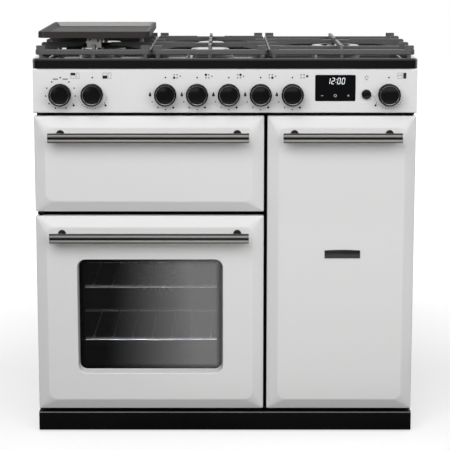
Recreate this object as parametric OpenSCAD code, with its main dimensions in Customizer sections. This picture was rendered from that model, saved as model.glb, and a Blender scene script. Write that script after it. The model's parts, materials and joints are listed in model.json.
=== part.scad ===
// Dual fuel range cooker: two side-hinged ovens, a drop-door grill and a five-burner gas hob.
// Millimetres, +Z up, seen from the front along +Y. The origin is the centre of the footprint on the floor.
// Inside at_face() the depth is counted from the flat faces of the doors, so Y = 0 is the door face.

/* [Overall] */
// Width over the hotplate and the plinth
body_w = 900; // [860:5:960]
// Depth from the door faces to the back of the hotplate
body_d = 608; // [590:2:640]
// Height of the hotplate rim above the floor
hob_h = 905; // [895:1:930]
// How far the handles stand out from the door faces
handle_reach = 40; // [36:1:60]

/* [Front] */
// Height of the plinth
plinth_h = 49; // [40:1:70]
// Height of the control fascia
fascia_h = 104; // [96:1:112]
// Height of the hotplate's skirt
rim_h = 24; // [22:1:30]
// Height of the grill door
grill_door_h = 228; // [206:2:250]
// Share of the front's width that the left column of doors takes
left_share = 0.608; // [0.59:0.001:0.63]
// Gap round the doors
door_gap = 8; // [7:0.5:12]
// Gap between the grill door and the oven door under it
row_gap = 10; // [9:0.5:14]
// Reveal between the doors' outer edges and the hotplate's sides
side_reveal = 1; // [0:0.5:4]
// Setback of the plinth behind the door faces
plinth_back = 8; // [2:1:30]

/* [Doors] */
// Thickness of a door
door_t = 45; // [42:1:50]
// Gap between a closed door and the front frame
door_stand = 5; // [4:0.5:8]
// Depth of the pressed outer panel of a door
panel_d = 30; // [28:1:33]
// Thickness of the pressed sheet
sheet = 2; // [1.5:0.5:3]
// Width of the sloping border of a door
bevel_w = 26; // [20:1:32]
// Depth of the sloping border
bevel_d = 12; // [8:1:13]
// Corner radius of the raised flat face
flat_r = 20; // [10:1:30]
// Inset of the inner pan from the door's edge
pan_inset = 16; // [14:1:20]
// Width of the oven window
window_w = 347; // [300:1:380]
// Height of the oven window
window_h = 279; // [240:1:300]
// Window's lower edge above the door's lower edge
window_up = 91; // [80:1:100]
// Corner radius of the window
window_r = 20; // [10:1:30]
// How far the window glass is set back
glass_back = 21; // [16:1:22]
// Thickness of the door glass
glass_t = 4; // [3:0.5:5]

/* [Hinges] */
// Oven hinge pins in from the door's edge
pin_in = 12; // [11:0.5:14]
// Oven hinge pins behind the door face
pin_back = 20; // [19:0.5:22]
// Radius of an oven hinge pin
pin_r = 4; // [3:0.5:5]
// Grill hinge axis above the door's lower edge
grill_pin_up = 24; // [23:0.5:26]
// Grill hinge axis behind the door face
grill_pin_back = 24; // [23:0.5:25]
// Grill hinge arms in from the door's sides
arm_in = 44; // [36:1:80]

/* [Handles] */
// Length of the handles on the left doors
long_handle = 469; // [420:1:500]
// Length of the handle on the tall door
short_handle = 277; // [240:1:300]
// Height of a handle bar
bar_h = 22; // [18:1:24]
// Depth of a handle bar
bar_d = 16; // [14:1:18]
// Width of the groove along the bar
groove_w = 2; // [1:0.5:3]
// Handle centre below the door's top edge
handle_down = 49; // [44:1:60]
// Post centre in from the bar's end
post_in = 27; // [20:1:40]
// Radius of a handle post
post_r = 5; // [4:0.5:6]
// Radius of the rosette at the foot of a post
rosette_r = 9.5; // [8:0.5:12]

/* [Controls] */
// Radius of a control knob
knob_r = 26; // [22:0.5:27]
// Length of a control knob
knob_len = 26; // [20:1:30]
// Gap between a knob and the fascia
knob_gap = 4.5; // [4:0.5:6]
// Radius of a control spindle
spindle_r = 4; // [3:0.5:5]
// Travel of a pressed gas knob or the lamp button
press = 3; // [2:0.5:3.5]
// Knob centres above the fascia's lower edge
knob_up = 44; // [40:1:50]
// Grill knob from the left side
grill_knob_in = 66; // [50:0.5:80]
// Main oven knob from the left side
main_knob_in = 140.5; // [130:0.5:150]
// First gas knob from the left side, as a share of the width
gas_share = 0.3456; // [0.335:0.0005:0.355]
// Pitch of the gas knobs, as a share of the width
gas_pitch_share = 0.0822; // [0.078:0.0001:0.084]
// Tall oven knob from the right side
tall_knob_in = 68; // [50:0.5:70]
// Lamp button from the right side
button_in = 120; // [115:0.5:130]
// Radius of the lamp button
button_r = 11; // [9:0.5:12]
// Width of the display
display_w = 94; // [80:1:100]
// Height of the display
display_h = 61; // [50:1:70]
// Display's centre from the right side
display_in = 192.5; // [185:0.5:200]
// Display's lower edge above the fascia's lower edge
display_up = 28; // [20:1:34]

/* [Hob] */
// Corner radius of the hotplate in plan
hob_r = 20; // [17:1:30]
// Radius of the hotplate's top edge
edge_r = 6; // [4:1:8]
// Width of the flat rim round the well
land_w = 14; // [12:1:16]
// Depth of the hotplate's well below the rim
well_d = 9; // [7:1:12]
// Width of a two-burner pan support
support_w = 271; // [260:1:276]
// Depth of the pan supports
support_d = 455; // [440:1:480]
// Front of the pan supports behind the door face
support_in = 20; // [17:1:30]
// Margin between the pan supports and the hotplate's sides
support_side = 6; // [2:1:10]
// Gap between neighbouring pan supports
support_gap = 2; // [2:0.5:5]
// Height of the pan supports' tops above the hotplate rim
support_up = 28; // [24:1:34]
// Height of a rail of a pan support
rail_h = 13; // [10:1:14]
// Drop from the pan level to the top of the rails
rail_drop = 9; // [7:1:11]
// Width of a rail
rail_w = 10; // [8:1:13]
// Thickness of a finger
finger_t = 7; // [5:0.5:9]
// Height of a finger at its tip
finger_tip = 8; // [6:1:10]
// Gap from a burner's centre to the finger tips
finger_clear = 33; // [26:1:40]
// Front burners' centres behind the front of the supports
burner_in = 120; // [115:1:130]
// Radius of a small burner's cap
cap_small_r = 33; // [27:0.5:36]
// Radius of a large burner's cap
cap_large_r = 46; // [42:0.5:48]
// Outer radius of the wok burner's ring
wok_r = 61; // [57:0.5:64]
// Griddle width
griddle_w = 263; // [240:1:266]
// How much shorter the griddle is than the pan supports
griddle_short = 70; // [58:1:95]
// Griddle's front behind the front of the supports
griddle_in = 24; // [15:1:50]
// Griddle plate's height
griddle_h = 15; // [12:1:20]
// Griddle's underside above the pan supports
griddle_up = 16; // [12:1:20]

/* [Ovens] */
// Width of the main oven's cavity
main_cavity_w = 430; // [400:2:440]
// Width of the tall oven's cavity
tall_cavity_w = 250; // [230:2:256]
// Depth of the oven cavities
cavity_d = 400; // [380:2:420]
// Depth of the grill chamber
grill_d = 380; // [360:2:400]
// Border between a cavity and the lower edge of its door
cavity_low = 36; // [34:1:44]
// Border between a cavity and the upper edge of its door
cavity_high = 40; // [36:1:48]
// Corner radius of a cavity
cavity_r = 12; // [8:1:20]
// Thickness of an oven wall
wall = 2; // [1.5:0.5:3]
// Lower rack above the cavity's floor
rack_1 = 118; // [110:1:124]
// Distance between the two racks of the main oven
rack_pitch = 131; // [120:1:140]
// Distance between the wires of a rack
rack_wire_pitch = 48; // [24:1:52]
// Radius of a rack's front and rear rods
rack_r = 3.5; // [3:0.25:4]
// Setback of the racks and the grill pan behind the cavity's mouth
rack_back = 33; // [30:1:40]
// Radius of an oven fan
fan_r = 62; // [50:1:70]
// Grill pan's underside above the chamber's floor
grill_pan_up = 43; // [38:1:50]
// Height of the grill pan
grill_pan_h = 30; // [24:1:36]

/* [Hidden] */
$fn = 48;

// Radial running clearance of a pin or spindle in its bore
running = 0.05;
// Gap left where a loose piece rests on its seat
seat = 0.3;
// Reach past a surface that a cut goes through
past = 1;

door_face_y = handle_reach - (body_d + handle_reach) / 2;
half_w = body_w / 2;
rim_z = hob_h - rim_h;
fascia_z = rim_z - fascia_h;
door_low = plinth_h + door_gap;
door_top = fascia_z - door_gap;
grill_low = door_top - grill_door_h;
main_top = grill_low - row_gap;
main_door_h = main_top - door_low;
tall_door_h = door_top - door_low;
left_edge = -half_w + side_reveal;
left_door_w = round((body_w - 2 * side_reveal - door_gap) * left_share);
left_cx = left_edge + left_door_w / 2;
tall_edge = left_edge + left_door_w + door_gap;
tall_door_w = half_w - side_reveal - tall_edge;
tall_cx = tall_edge + tall_door_w / 2;
frame_y = door_t + door_stand;

// Carcass
carcass_in = 4;
carcass_half = half_w - carcass_in;
inner_half = carcass_half - sheet;
base_low = 24;
channel_w = 40;
rail_x = half_w - 60;
back_recess = 30;
back_y = body_d - back_recess;
flange = 20;

// Fascia and controls
fascia_y = 2;
fascia_r = 4;
knob_back_y = fascia_y - knob_gap;
knob_z = fascia_z + knob_up;
grill_knob_x = -half_w + grill_knob_in;
main_knob_x = -half_w + main_knob_in;
tall_knob_x = half_w - tall_knob_in;
button_x = half_w - button_in;
display_x = half_w - display_in;
display_z = fascia_z + display_up + display_h / 2;
gas_x = [for (i = [0:4]) -half_w + round(body_w * gas_share) + i * round(body_w * gas_pitch_share)];
control_y = 14;
knob_bore = 20;
spindle_in = 16;

// Hob
deck_z = hob_h - well_d;
pan_z = hob_h + support_up;
rail_top = pan_z - rail_drop;
rail_low = rail_top - rail_h;
support_cy = support_in + support_d / 2;
left_support_x = -half_w + support_side + support_w / 2;
middle_support_x = left_support_x + support_w + support_gap;
right_support_w = body_w - 2 * support_side - 2 * support_w - 2 * support_gap;
right_support_x = half_w - support_side - right_support_w / 2;
front_burner_y = support_in + burner_in;
rear_burner_y = support_in + support_d - burner_in;
bowl_flange = 2;
bowl_low = deck_z - 40;
head_h = 12;
cap_h = 8;
head_z = deck_z + bowl_flange;
cap_z = head_z + head_h;
burner_grow = 9;
griddle_d = support_d - griddle_short;
griddle_cy = support_in + griddle_in + griddle_d / 2;
griddle_z = pan_z + griddle_up;

// The burners: place, cap radius and the gas knob that feeds each
BURNERS = [
    [left_support_x, front_burner_y, cap_small_r, 0],
    [left_support_x, rear_burner_y, cap_large_r, 1],
    [middle_support_x, rear_burner_y, cap_small_r, 2],
    [middle_support_x, front_burner_y, cap_large_r, 3]
];
wok = [right_support_x, support_cy, wok_r, 4];

// Cavities
main_low = door_low + cavity_low;
main_cavity_h = main_door_h - cavity_low - cavity_high;
tall_cavity_h = tall_door_h - cavity_low - cavity_high;
grill_floor = grill_low + cavity_low;
grill_cavity_h = grill_door_h - cavity_low - cavity_high;
mouth_y = frame_y + sheet;
rear_wall_y = mouth_y + cavity_d;
cover_d = 50;
cover_y = rear_wall_y - cover_d;
fan_y = rear_wall_y - 12;
fan_depth = 24;
rack_y = mouth_y + rack_back;
rack_d = cover_y - rack_y - 18;
rack_side_r = 3;
wire_r = 2;
rack_margin = 10;
rung_r = 2.5;
rung_in = 7.5;
level_h = rack_pitch / 2;
grill_pan_z = grill_floor + grill_pan_up;
fan_bore_r = spindle_r;
fan_hub_r = 11;
fan_shaft = 20;

enamel_white = [0.86, 0.86, 0.85];
gloss_black = [0.04, 0.04, 0.045];
iron_black = [0.13, 0.13, 0.13];
gunmetal = [0.36, 0.36, 0.37];
steel = [0.72, 0.73, 0.74];
zinc = [0.6, 0.62, 0.63];
brass_tone = [0.78, 0.62, 0.3];
oven_grey = [0.16, 0.17, 0.19];
glass_tone = [0.1, 0.1, 0.11, 0.6];

// Puts a piece that is measured from the door faces in its place
module at_face() {
    translate([0, door_face_y, 0])
        children();
}

module rounded_rect(w, h, r) {
    square([w - 2 * r, h], center = true);
    square([w, h - 2 * r], center = true);
    for (x = [-1, 1], y = [-1, 1])
        translate([x * (w / 2 - r), y * (h / 2 - r)])
            circle(r);
}

// Extrudes a front view, drawn as X and Z, backwards from Y = 0
module back_extrude(depth) {
    translate([0, depth, 0])
        rotate([90, 0, 0])
            linear_extrude(depth)
                children();
}

// Extrudes a side view, drawn as Y and Z, along X and centred
module side_extrude(width) {
    rotate([90, 0, 90])
        linear_extrude(width, center = true)
            children();
}

// A round bar along Y from y0 to y1
module y_rod(x, y0, y1, z, r) {
    translate([x, y1, z])
        rotate([90, 0, 0])
            cylinder(h = y1 - y0, r = r);
}

// A round bar along X from x0 to x1
module x_rod(x0, x1, y, z, r) {
    translate([x0, y, z])
        rotate([0, 90, 0])
            cylinder(h = x1 - x0, r = r);
}

// A box from its lowest corner to its highest
module block(low, high) {
    translate(low)
        cube(high - low);
}

// Turns a profile, drawn as radius and reach, round an axis that points to the front
module front_turn() {
    rotate([90, 0, 0])
        rotate_extrude()
            children();
}

// Sweeps a cross-section round a rounded rectangle: its outer side is on X = 0 and it reaches to -X
module edge_sweep(w, d, r) {
    for (side = [0, 180]) {
        rotate([0, 0, side])
            translate([w / 2, d / 2 - r, 0])
                rotate([90, 0, 0])
                    linear_extrude(d - 2 * r)
                        children();
        rotate([0, 0, 90 + side])
            translate([d / 2, w / 2 - r, 0])
                rotate([90, 0, 0])
                    linear_extrude(w - 2 * r)
                        children();
    }
    for (corner = [[1, 1, 0], [-1, 1, 90], [-1, -1, 180], [1, -1, 270]])
        translate([corner[0] * (w / 2 - r), corner[1] * (d / 2 - r), 0])
            rotate([0, 0, corner[2]])
                rotate_extrude(angle = 90)
                    translate([r, 0])
                        children();
}

// Carcass

module channel_profile() {
    difference() {
        square([channel_w, plinth_h - base_low], center = true);
        translate([0, -sheet])
            square([channel_w - 2 * sheet, plinth_h - base_low], center = true);
    }
}

foot_places = [for (x = [-1, 1], y = [frame_y + 60, body_d - 80]) [x * rail_x, y]];
channel_z = (plinth_h + base_low) / 2;
cross_front = frame_y - 6;

module base_frame() {
    color(zinc)
        at_face()
            difference() {
                union() {
                    for (side = [-1, 1])
                        translate([side * rail_x, cross_front, channel_z])
                            back_extrude(back_y - cross_front)
                                channel_profile();
                    for (y = [cross_front + channel_w / 2, back_y - channel_w / 2])
                        translate([0, y, channel_z])
                            side_extrude(2 * rail_x - channel_w + 2 * sheet)
                                channel_profile();
                }
                for (place = foot_places)
                    translate([place[0], place[1], plinth_h - sheet - past])
                        cylinder(h = sheet + 2 * past, r = foot_stem_r + seat);
            }
}

foot_r = 21;
foot_pad_h = 8;
foot_stem_r = 5;
foot_nut_r = 10;
foot_nut_h = 7;

module levelling_foot() {
    cylinder(h = foot_pad_h, r = foot_r);
    cylinder(h = plinth_h + 6, r = foot_stem_r);
    translate([0, 0, plinth_h - sheet - foot_nut_h])
        cylinder(h = foot_nut_h, r = foot_nut_r, $fn = 6);
}

module levelling_feet() {
    color(iron_black)
        at_face()
            for (place = foot_places)
                translate([place[0], place[1], 0])
                    levelling_foot();
}

plinth_low = 4;
plinth_return = 36;

module plinth() {
    color(gloss_black)
        at_face() {
            block([-half_w, plinth_back, plinth_low], [half_w, plinth_back + sheet, plinth_h]);
            block([-half_w, plinth_back, plinth_h - sheet], [half_w, cross_front, plinth_h]);
            for (side = [0, 1])
                mirror([side, 0, 0])
                    block([half_w - sheet, plinth_back, plinth_low],
                          [half_w, plinth_back + plinth_return, plinth_h]);
        }
}

module side_panel() {
    block([inner_half, frame_y, plinth_h], [carcass_half, body_d, rim_z]);
    block([rail_x + foot_nut_r, frame_y + flange, plinth_h], [carcass_half, back_y, plinth_h + sheet]);
    block([carcass_half - flange, frame_y, rim_z - sheet], [carcass_half, back_y, rim_z]);
    block([carcass_half - flange, back_y + sheet, plinth_h], [carcass_half, back_y + 2 * sheet, rim_z]);
}

module side_panels() {
    color(iron_black)
        at_face()
            for (side = [0, 1])
                mirror([side, 0, 0])
                    side_panel();
}

louvre_w = 60;
louvre_h = 6;
louvre_pitch = 20;

module back_panel() {
    color(zinc)
        at_face()
            difference() {
                block([-inner_half, back_y, plinth_h], [inner_half, back_y + sheet, rim_z]);
                for (column = [-2, -1, 1, 2], row = [0:5])
                    translate([column * 150, back_y - past, 300 + row * louvre_pitch])
                        back_extrude(sheet + 2 * past)
                            rounded_rect(louvre_w, louvre_h, louvre_h / 2 - 0.5);
                y_rod(inlet_x, back_y - past, back_y + sheet + past, inlet_z, inlet_body_r + seat);
            }
}

// Front frame: one sheet with three mouths, folded back along its top and bottom

module cavity_outline(cx, low, w, h, grow) {
    translate([cx, low + h / 2])
        rounded_rect(w + 2 * grow, h + 2 * grow, cavity_r + grow);
}

module mouths(grow) {
    cavity_outline(left_cx, main_low, main_cavity_w, main_cavity_h, grow);
    cavity_outline(left_cx, grill_floor, main_cavity_w, grill_cavity_h, grow);
    cavity_outline(tall_cx, main_low, tall_cavity_w, tall_cavity_h, grow);
}

module front_frame() {
    color(gloss_black)
        at_face() {
            translate([0, frame_y, 0])
                back_extrude(sheet)
                    difference() {
                        translate([-inner_half, plinth_h])
                            square([2 * inner_half, fascia_z - plinth_h]);
                        mouths(0);
                    }
            block([-inner_half, frame_y, fascia_z - sheet], [inner_half, frame_y + flange, fascia_z]);
            block([-inner_half, frame_y, plinth_h], [inner_half, frame_y + flange, plinth_h + sheet]);
        }
}

// Hob

module rim_section() {
    mirror([1, 0]) {
        square([sheet, rim_h - edge_r]);
        square([land_w, sheet]);
        translate([edge_r, rim_h - edge_r])
            intersection() {
                difference() {
                    circle(edge_r);
                    circle(edge_r - sheet);
                }
                translate([-edge_r, 0])
                    square(edge_r);
            }
        translate([edge_r, rim_h - sheet])
            square([land_w - edge_r, sheet]);
        translate([land_w - sheet, rim_h - well_d - sheet])
            square([sheet, well_d + sheet]);
    }
}

vent_d = 54;
vent_y = body_d - land_w - vent_d;
vent_h = 16;
vent_slot = [16, 28];
vent_pitch = 27;

module hotplate() {
    vent_count = floor((body_w - 2 * land_w - 60) / vent_pitch / 2);
    vent_x = half_w - 2 * land_w;
    vent_end = vent_y + vent_d - 10;
    in_w = 2 * land_w - 2;
    color(gloss_black)
        at_face() {
            translate([0, body_d / 2, rim_z])
                edge_sweep(body_w, body_d, hob_r)
                    rim_section();
            difference() {
                union() {
                    translate([0, body_d / 2, deck_z - sheet])
                        linear_extrude(sheet)
                            rounded_rect(body_w - in_w, body_d - in_w, hob_r - in_w / 2);
                    block([-vent_x, vent_y, deck_z - sheet], [vent_x, vent_end, deck_z + vent_h]);
                }
                block([-vent_x + sheet, vent_y + sheet, deck_z - sheet - past],
                      [vent_x - sheet, vent_end - sheet, deck_z + vent_h - sheet]);
                for (i = [-vent_count:vent_count])
                    translate([i * vent_pitch, vent_y + vent_d / 2 - 5, deck_z])
                        linear_extrude(vent_h + past)
                            square(vent_slot, center = true);
                for (burner = BURNERS)
                    translate([burner[0], burner[1], deck_z - sheet - past])
                        cylinder(h = sheet + 2 * past, r = burner[2] + seat);
                translate([wok[0], wok[1], deck_z - sheet - past])
                    cylinder(h = sheet + 2 * past, r = wok[2] - 4 + seat);
            }
        }
}

// A bowl hangs in the deck by its flange
module burner_bowl(r, flange_r) {
    difference() {
        union() {
            translate([0, 0, bowl_low])
                cylinder(h = deck_z - bowl_low, r = r);
            translate([0, 0, deck_z])
                cylinder(h = bowl_flange, r = flange_r);
        }
        translate([0, 0, bowl_low + sheet])
            cylinder(h = deck_z - bowl_low + bowl_flange, r = r - sheet);
    }
}

module burner_bowls() {
    color(steel)
        at_face() {
            for (burner = BURNERS)
                translate([burner[0], burner[1], 0])
                    burner_bowl(burner[2], burner[2] + burner_grow + 2);
            translate([wok[0], wok[1], 0])
                burner_bowl(wok[2] - 4, wok[2] + 4);
        }
}

port_w = 2;
port_h = 5;
port_pitch = 7;

// A crown of flame ports: r is its outer radius and hole is the radius of its throat
module burner_crown(r, hole) {
    count = round(2 * PI * r / port_pitch);
    difference() {
        union() {
            cylinder(h = 4, r = r);
            cylinder(h = head_h, r = r - 3);
        }
        translate([0, 0, -past])
            cylinder(h = head_h + 2 * past, r = hole);
        for (i = [0:count - 1])
            rotate([0, 0, i * 360 / count])
                translate([hole - past, -port_w / 2, head_h - port_h])
                    cube([r - hole + past, port_w, port_h + past]);
    }
}

wok_inner_r = 22;
spoke_w = 8;

module burner_heads() {
    color(steel)
        at_face() {
            for (burner = BURNERS)
                translate([burner[0], burner[1], head_z])
                    burner_crown(burner[2] + burner_grow, burner[2] - 12);
            translate([wok[0], wok[1], head_z]) {
                burner_crown(wok[2], wok[2] - 22);
                burner_crown(wok_inner_r + 5, wok_inner_r - 12);
                for (angle = [40:90:310])
                    rotate([0, 0, angle])
                        translate([wok_inner_r, -spoke_w / 2, 0.5])
                            cube([wok[2] - 20 - wok_inner_r, spoke_w, 3]);
            }
        }
}

// A domed cap with a turned-down edge, or a ring where hole is more than 0
module burner_cap(r, hole) {
    lip = 3;
    rotate_extrude()
        difference() {
            union() {
                translate([hole, 0])
                    square([r - hole - lip, cap_h]);
                translate([hole, 0])
                    square([r - hole, cap_h - lip]);
                translate([r - lip, cap_h - lip])
                    circle(lip);
            }
            translate([hole > 0 ? hole + 4 : -past, -past])
                square([hole > 0 ? r - hole - 8 : r - 4 + past, past + 2]);
        }
}

module burner_caps() {
    color(gloss_black)
        at_face() {
            for (burner = BURNERS)
                translate([burner[0], burner[1], cap_z])
                    burner_cap(burner[2], 0);
            translate([wok[0], wok[1], cap_z]) {
                burner_cap(wok[2] - 2, wok[2] - 24);
                burner_cap(wok_inner_r, 0);
            }
        }
}

spark_h = head_h + 2;
probe_h = head_h + 6;

module igniter(reach) {
    rotate([0, 0, 225])
        translate([reach, 0, deck_z]) {
            cylinder(h = spark_h, r = 3.2);
            cylinder(h = spark_h + 3, r = 1.2);
        }
    rotate([0, 0, 135])
        translate([reach, 0, deck_z]) {
            cylinder(h = probe_h / 3, r = 4);
            cylinder(h = probe_h, r = 2.2);
        }
}

module igniters() {
    color(steel)
        at_face() {
            for (burner = BURNERS)
                translate([burner[0], burner[1], 0])
                    igniter(burner[2] + burner_grow + 8);
            translate([wok[0], wok[1], 0])
                igniter(wok[2] + 10);
        }
}

// Pan supports: a rounded rail all round, a rail across, and arched fingers that reach for the burners

module rail_section() {
    translate([-rail_w / 2, rail_low + rail_h / 2])
        rounded_rect(rail_w, rail_h, 3);
}

// A finger along +X from its root at 0 to its tip: flat on top, arched underneath
module finger(len) {
    root = 10;
    arch_h = pan_z - finger_tip - rail_low;
    arch_r = (pow(len - root, 2) + arch_h * arch_h) / (2 * arch_h);
    rotate([90, 0, 0])
        linear_extrude(finger_t, center = true)
            difference() {
                polygon([[0, rail_low], [len, rail_low], [len, pan_z - 2], [len - 2, pan_z],
                         [14, pan_z], [4, rail_top], [0, rail_top]]);
                intersection() {
                    translate([len, pan_z - finger_tip - arch_r])
                        circle(arch_r, $fn = 180);
                    translate([root, rail_low - past])
                        square([len - root + past, arch_h + past]);
                }
            }
}

pad_w = 21;
pad_d = 12;
pad_in = pad_w / 2 + 3;

// Raised pads on both side rails, where a finger or a cross rail meets them
module side_pads(w, places) {
    for (x = [-1, 1], y = places)
        translate([x * (w / 2 - pad_in), y, 0]) {
            translate([-pad_w / 2, -pad_d / 2, rail_low + 3])
                cube([pad_w, pad_d, pan_z - rail_low - 5]);
            translate([-pad_w / 2 + 2, -pad_d / 2 + 2, pan_z - 3])
                cube([pad_w - 4, pad_d - 4, 2.7]);
        }
}

module support_frame(w) {
    foot_w = rail_w - 2;
    side_pads(w, [front_burner_y, support_cy, rear_burner_y]);
    translate([0, support_cy, 0])
        edge_sweep(w, support_d, 14)
            rail_section();
    for (y = [-1, 1])
        translate([0, support_cy + y * (support_d / 2 - rail_w / 2) - foot_w / 2, 0]) {
            for (x = [-1, 1])
                translate([x * (w / 2 - pad_in) - pad_w / 2, 0, rail_top - 4])
                    cube([pad_w, foot_w, rail_drop + 4]);
            for (x = [-1, 0, 1])
                translate([x * (w / 2 - pad_in) - foot_w / 2, 0, deck_z + seat])
                    cube([foot_w, foot_w, rail_low - deck_z + 4]);
        }
}

// Four fingers round a burner: their roots are at the given distances to the left and right, front and back
module finger_set(side, front, back, clear) {
    for (turn = [[0, side], [180, side], [90, back], [270, front]])
        rotate([0, 0, turn[0]])
            translate([turn[1], 0, 0])
                rotate([0, 0, 180])
                    finger(turn[1] - clear);
}

module cross_rail(w, y) {
    translate([0, y, rail_low + rail_h / 2])
        side_extrude(w - rail_w)
            rounded_rect(rail_w, rail_h, 3);
}

module two_burner_support(x) {
    half_root = support_w / 2 - rail_w / 2;
    front_root = burner_in - rail_w / 2;
    middle_root = support_d / 2 - burner_in;
    translate([x, 0, 0]) {
        support_frame(support_w);
        cross_rail(support_w, support_cy);
        translate([0, front_burner_y, 0])
            finger_set(half_root, front_root, middle_root, finger_clear);
        translate([0, rear_burner_y, 0])
            finger_set(half_root, middle_root, front_root, finger_clear);
    }
}

module pan_support_left() {
    color(iron_black)
        at_face()
            two_burner_support(left_support_x);
}

module pan_support_middle() {
    color(iron_black)
        at_face()
            two_burner_support(middle_support_x);
}

module pan_support_right() {
    long_root = support_d / 2 - rail_w / 2;
    color(iron_black)
        at_face()
            translate([right_support_x, 0, 0]) {
                support_frame(right_support_w);
                for (y = [front_burner_y, rear_burner_y])
                    cross_rail(right_support_w, y);
                translate([0, support_cy, 0])
                    finger_set(right_support_w / 2 - rail_w / 2, long_root, long_root, finger_clear);
            }
}

griddle_r = 18;
griddle_base = 5;
griddle_wall = 7;
griddle_slope = 9;
lug_in = 20;
lug_w = 34;
lug_d = 12;
lug_drop = 8;

// The griddle's wall: a rounded lip outside and a slope that runs down to the plate inside
module griddle_section() {
    mirror([1, 0]) {
        polygon([[0, 0], [0, griddle_h - 2], [2, griddle_h], [griddle_wall, griddle_h],
                 [griddle_wall + griddle_slope, griddle_base - 1], [griddle_wall + griddle_slope, 0]]);
        translate([2, griddle_h - 2])
            circle(2);
    }
}

module griddle() {
    color(iron_black)
        at_face()
            translate([left_support_x, griddle_cy, 0]) {
                translate([0, 0, griddle_z])
                    edge_sweep(griddle_w, griddle_d, griddle_r)
                        griddle_section();
                translate([0, 0, griddle_z])
                    linear_extrude(griddle_base)
                        rounded_rect(griddle_w - 4, griddle_d - 4, griddle_r - 2);
                for (side = [-1, 1])
                    translate([0, side * (griddle_d / 2 - lug_in), 0])
                        griddle_lug();
                for (x = [-1, 1], y = [front_burner_y, rear_burner_y])
                    translate([x * (griddle_w / 2 - 24), y - griddle_cy, pan_z + seat])
                        cylinder(h = griddle_up - seat + 1, r = 6);
            }
}

// A lug that straddles a finger and keeps the griddle from sliding
module griddle_lug() {
    difference() {
        block([-lug_w / 2, -lug_d / 2, pan_z - lug_drop], [lug_w / 2, lug_d / 2, griddle_z + 1]);
        block([-finger_t / 2 - 1, -lug_d, pan_z - lug_drop - past], [finger_t / 2 + 1, lug_d, pan_z + seat]);
        block([-lug_w / 2 + 6, -lug_d, pan_z + 6], [-finger_t / 2 - 4, lug_d, griddle_z - 3]);
        block([finger_t / 2 + 4, -lug_d, pan_z + 6], [lug_w / 2 - 6, lug_d, griddle_z - 3]);
    }
}

// Fascia and controls

module fascia_section() {
    difference() {
        fascia_outline(0);
        fascia_outline(sheet);
        translate([frame_y - 14, sheet])
            square([40, fascia_h - 2 * sheet]);
    }
}

// Side view of the fascia, with its two front edges rounded
module fascia_outline(inset) {
    r = fascia_r - inset / 2;
    translate([inset, inset]) {
        translate([r, 0])
            square([frame_y - fascia_y - r, fascia_h - 2 * inset]);
        translate([0, r])
            square([r + 1, fascia_h - 2 * inset - 2 * r]);
        for (z = [r, fascia_h - 2 * inset - r])
            translate([r, z])
                circle(r);
    }
}

module control_fascia() {
    color(enamel_white)
        at_face()
            difference() {
                union() {
                    translate([0, fascia_y, fascia_z])
                        side_extrude(body_w - 2 * side_reveal)
                            fascia_section();
                    for (side = [0, 1])
                        mirror([side, 0, 0])
                            translate([half_w - side_reveal - sheet / 2, fascia_y, fascia_z])
                                side_extrude(sheet)
                                    intersection() {
                                        fascia_outline(0);
                                        square([frame_y - fascia_y, fascia_h]);
                                    }
                }
                for (x = concat(gas_x, [grill_knob_x, main_knob_x, tall_knob_x]))
                    y_rod(x, -past, fascia_y + sheet + past, knob_z, spindle_r + 2.5);
                y_rod(button_x, -past, fascia_y + sheet + past, knob_z, button_r + seat);
                translate([display_x, -past, display_z])
                    back_extrude(fascia_y + sheet + 2 * past)
                        rounded_rect(display_w + 2 * seat, display_h + 2 * seat, 3 + seat);
            }
}

display_t = 3.5;
display_proud = 0.8;
clock_d = 24;

module clock_display() {
    color(gloss_black)
        at_face()
            translate([display_x, fascia_y - display_proud, display_z]) {
                back_extrude(display_t)
                    rounded_rect(display_w, display_h, 3);
                translate([0, display_t - 0.5, 0])
                    back_extrude(clock_d)
                        rounded_rect(display_w - 6, display_h - 6, 2);
            }
}

button_out = 6;
button_stem_r = 4;
button_stem = 26;

module light_button() {
    color(gloss_black)
        at_face()
            translate([button_x, fascia_y + 6, knob_z])
                front_turn() {
                    square([button_r, 6 + button_out - 3]);
                    square([button_r - 3, 6 + button_out]);
                    translate([button_r - 3, 6 + button_out - 3])
                        circle(3);
                    translate([0, -button_stem])
                        square([button_stem_r, button_stem + 2]);
                }
}

control_w = 46;
control_h = 34;
control_d = 40;
control_low = knob_z - control_h / 2;
control_high = knob_z + control_h / 2;
control_lug = 8;
spindle_bore = 28;
switch_half = 13;
switch_lug = 3;
switch_back = control_y + 32;

module oven_controls() {
    color(zinc)
        at_face() {
            for (x = [grill_knob_x, main_knob_x, tall_knob_x])
                difference() {
                    union() {
                        block([x - control_w / 2, control_y, control_low],
                              [x + control_w / 2, control_y + control_d, control_high]);
                        for (lug_x = [x - control_w / 2, x + control_w / 2 - control_lug])
                            block([lug_x, fascia_y + sheet, control_low],
                                  [lug_x + control_lug, control_y + 1, control_high]);
                    }
                    y_rod(x, control_y - past, control_y + spindle_bore, knob_z, spindle_r + running);
                }
            translate([button_x, 0, knob_z])
                difference() {
                    union() {
                        block([-switch_half, control_y + 6, -switch_half],
                              [switch_half, switch_back, switch_half]);
                        for (lug_x = [-switch_half - switch_lug, switch_half])
                            block([lug_x, fascia_y + sheet, -switch_half],
                                  [lug_x + switch_lug, switch_back, switch_half]);
                    }
                    y_rod(0, control_y, switch_back - 4, 0, button_stem_r + running);
                }
        }
}

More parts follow.
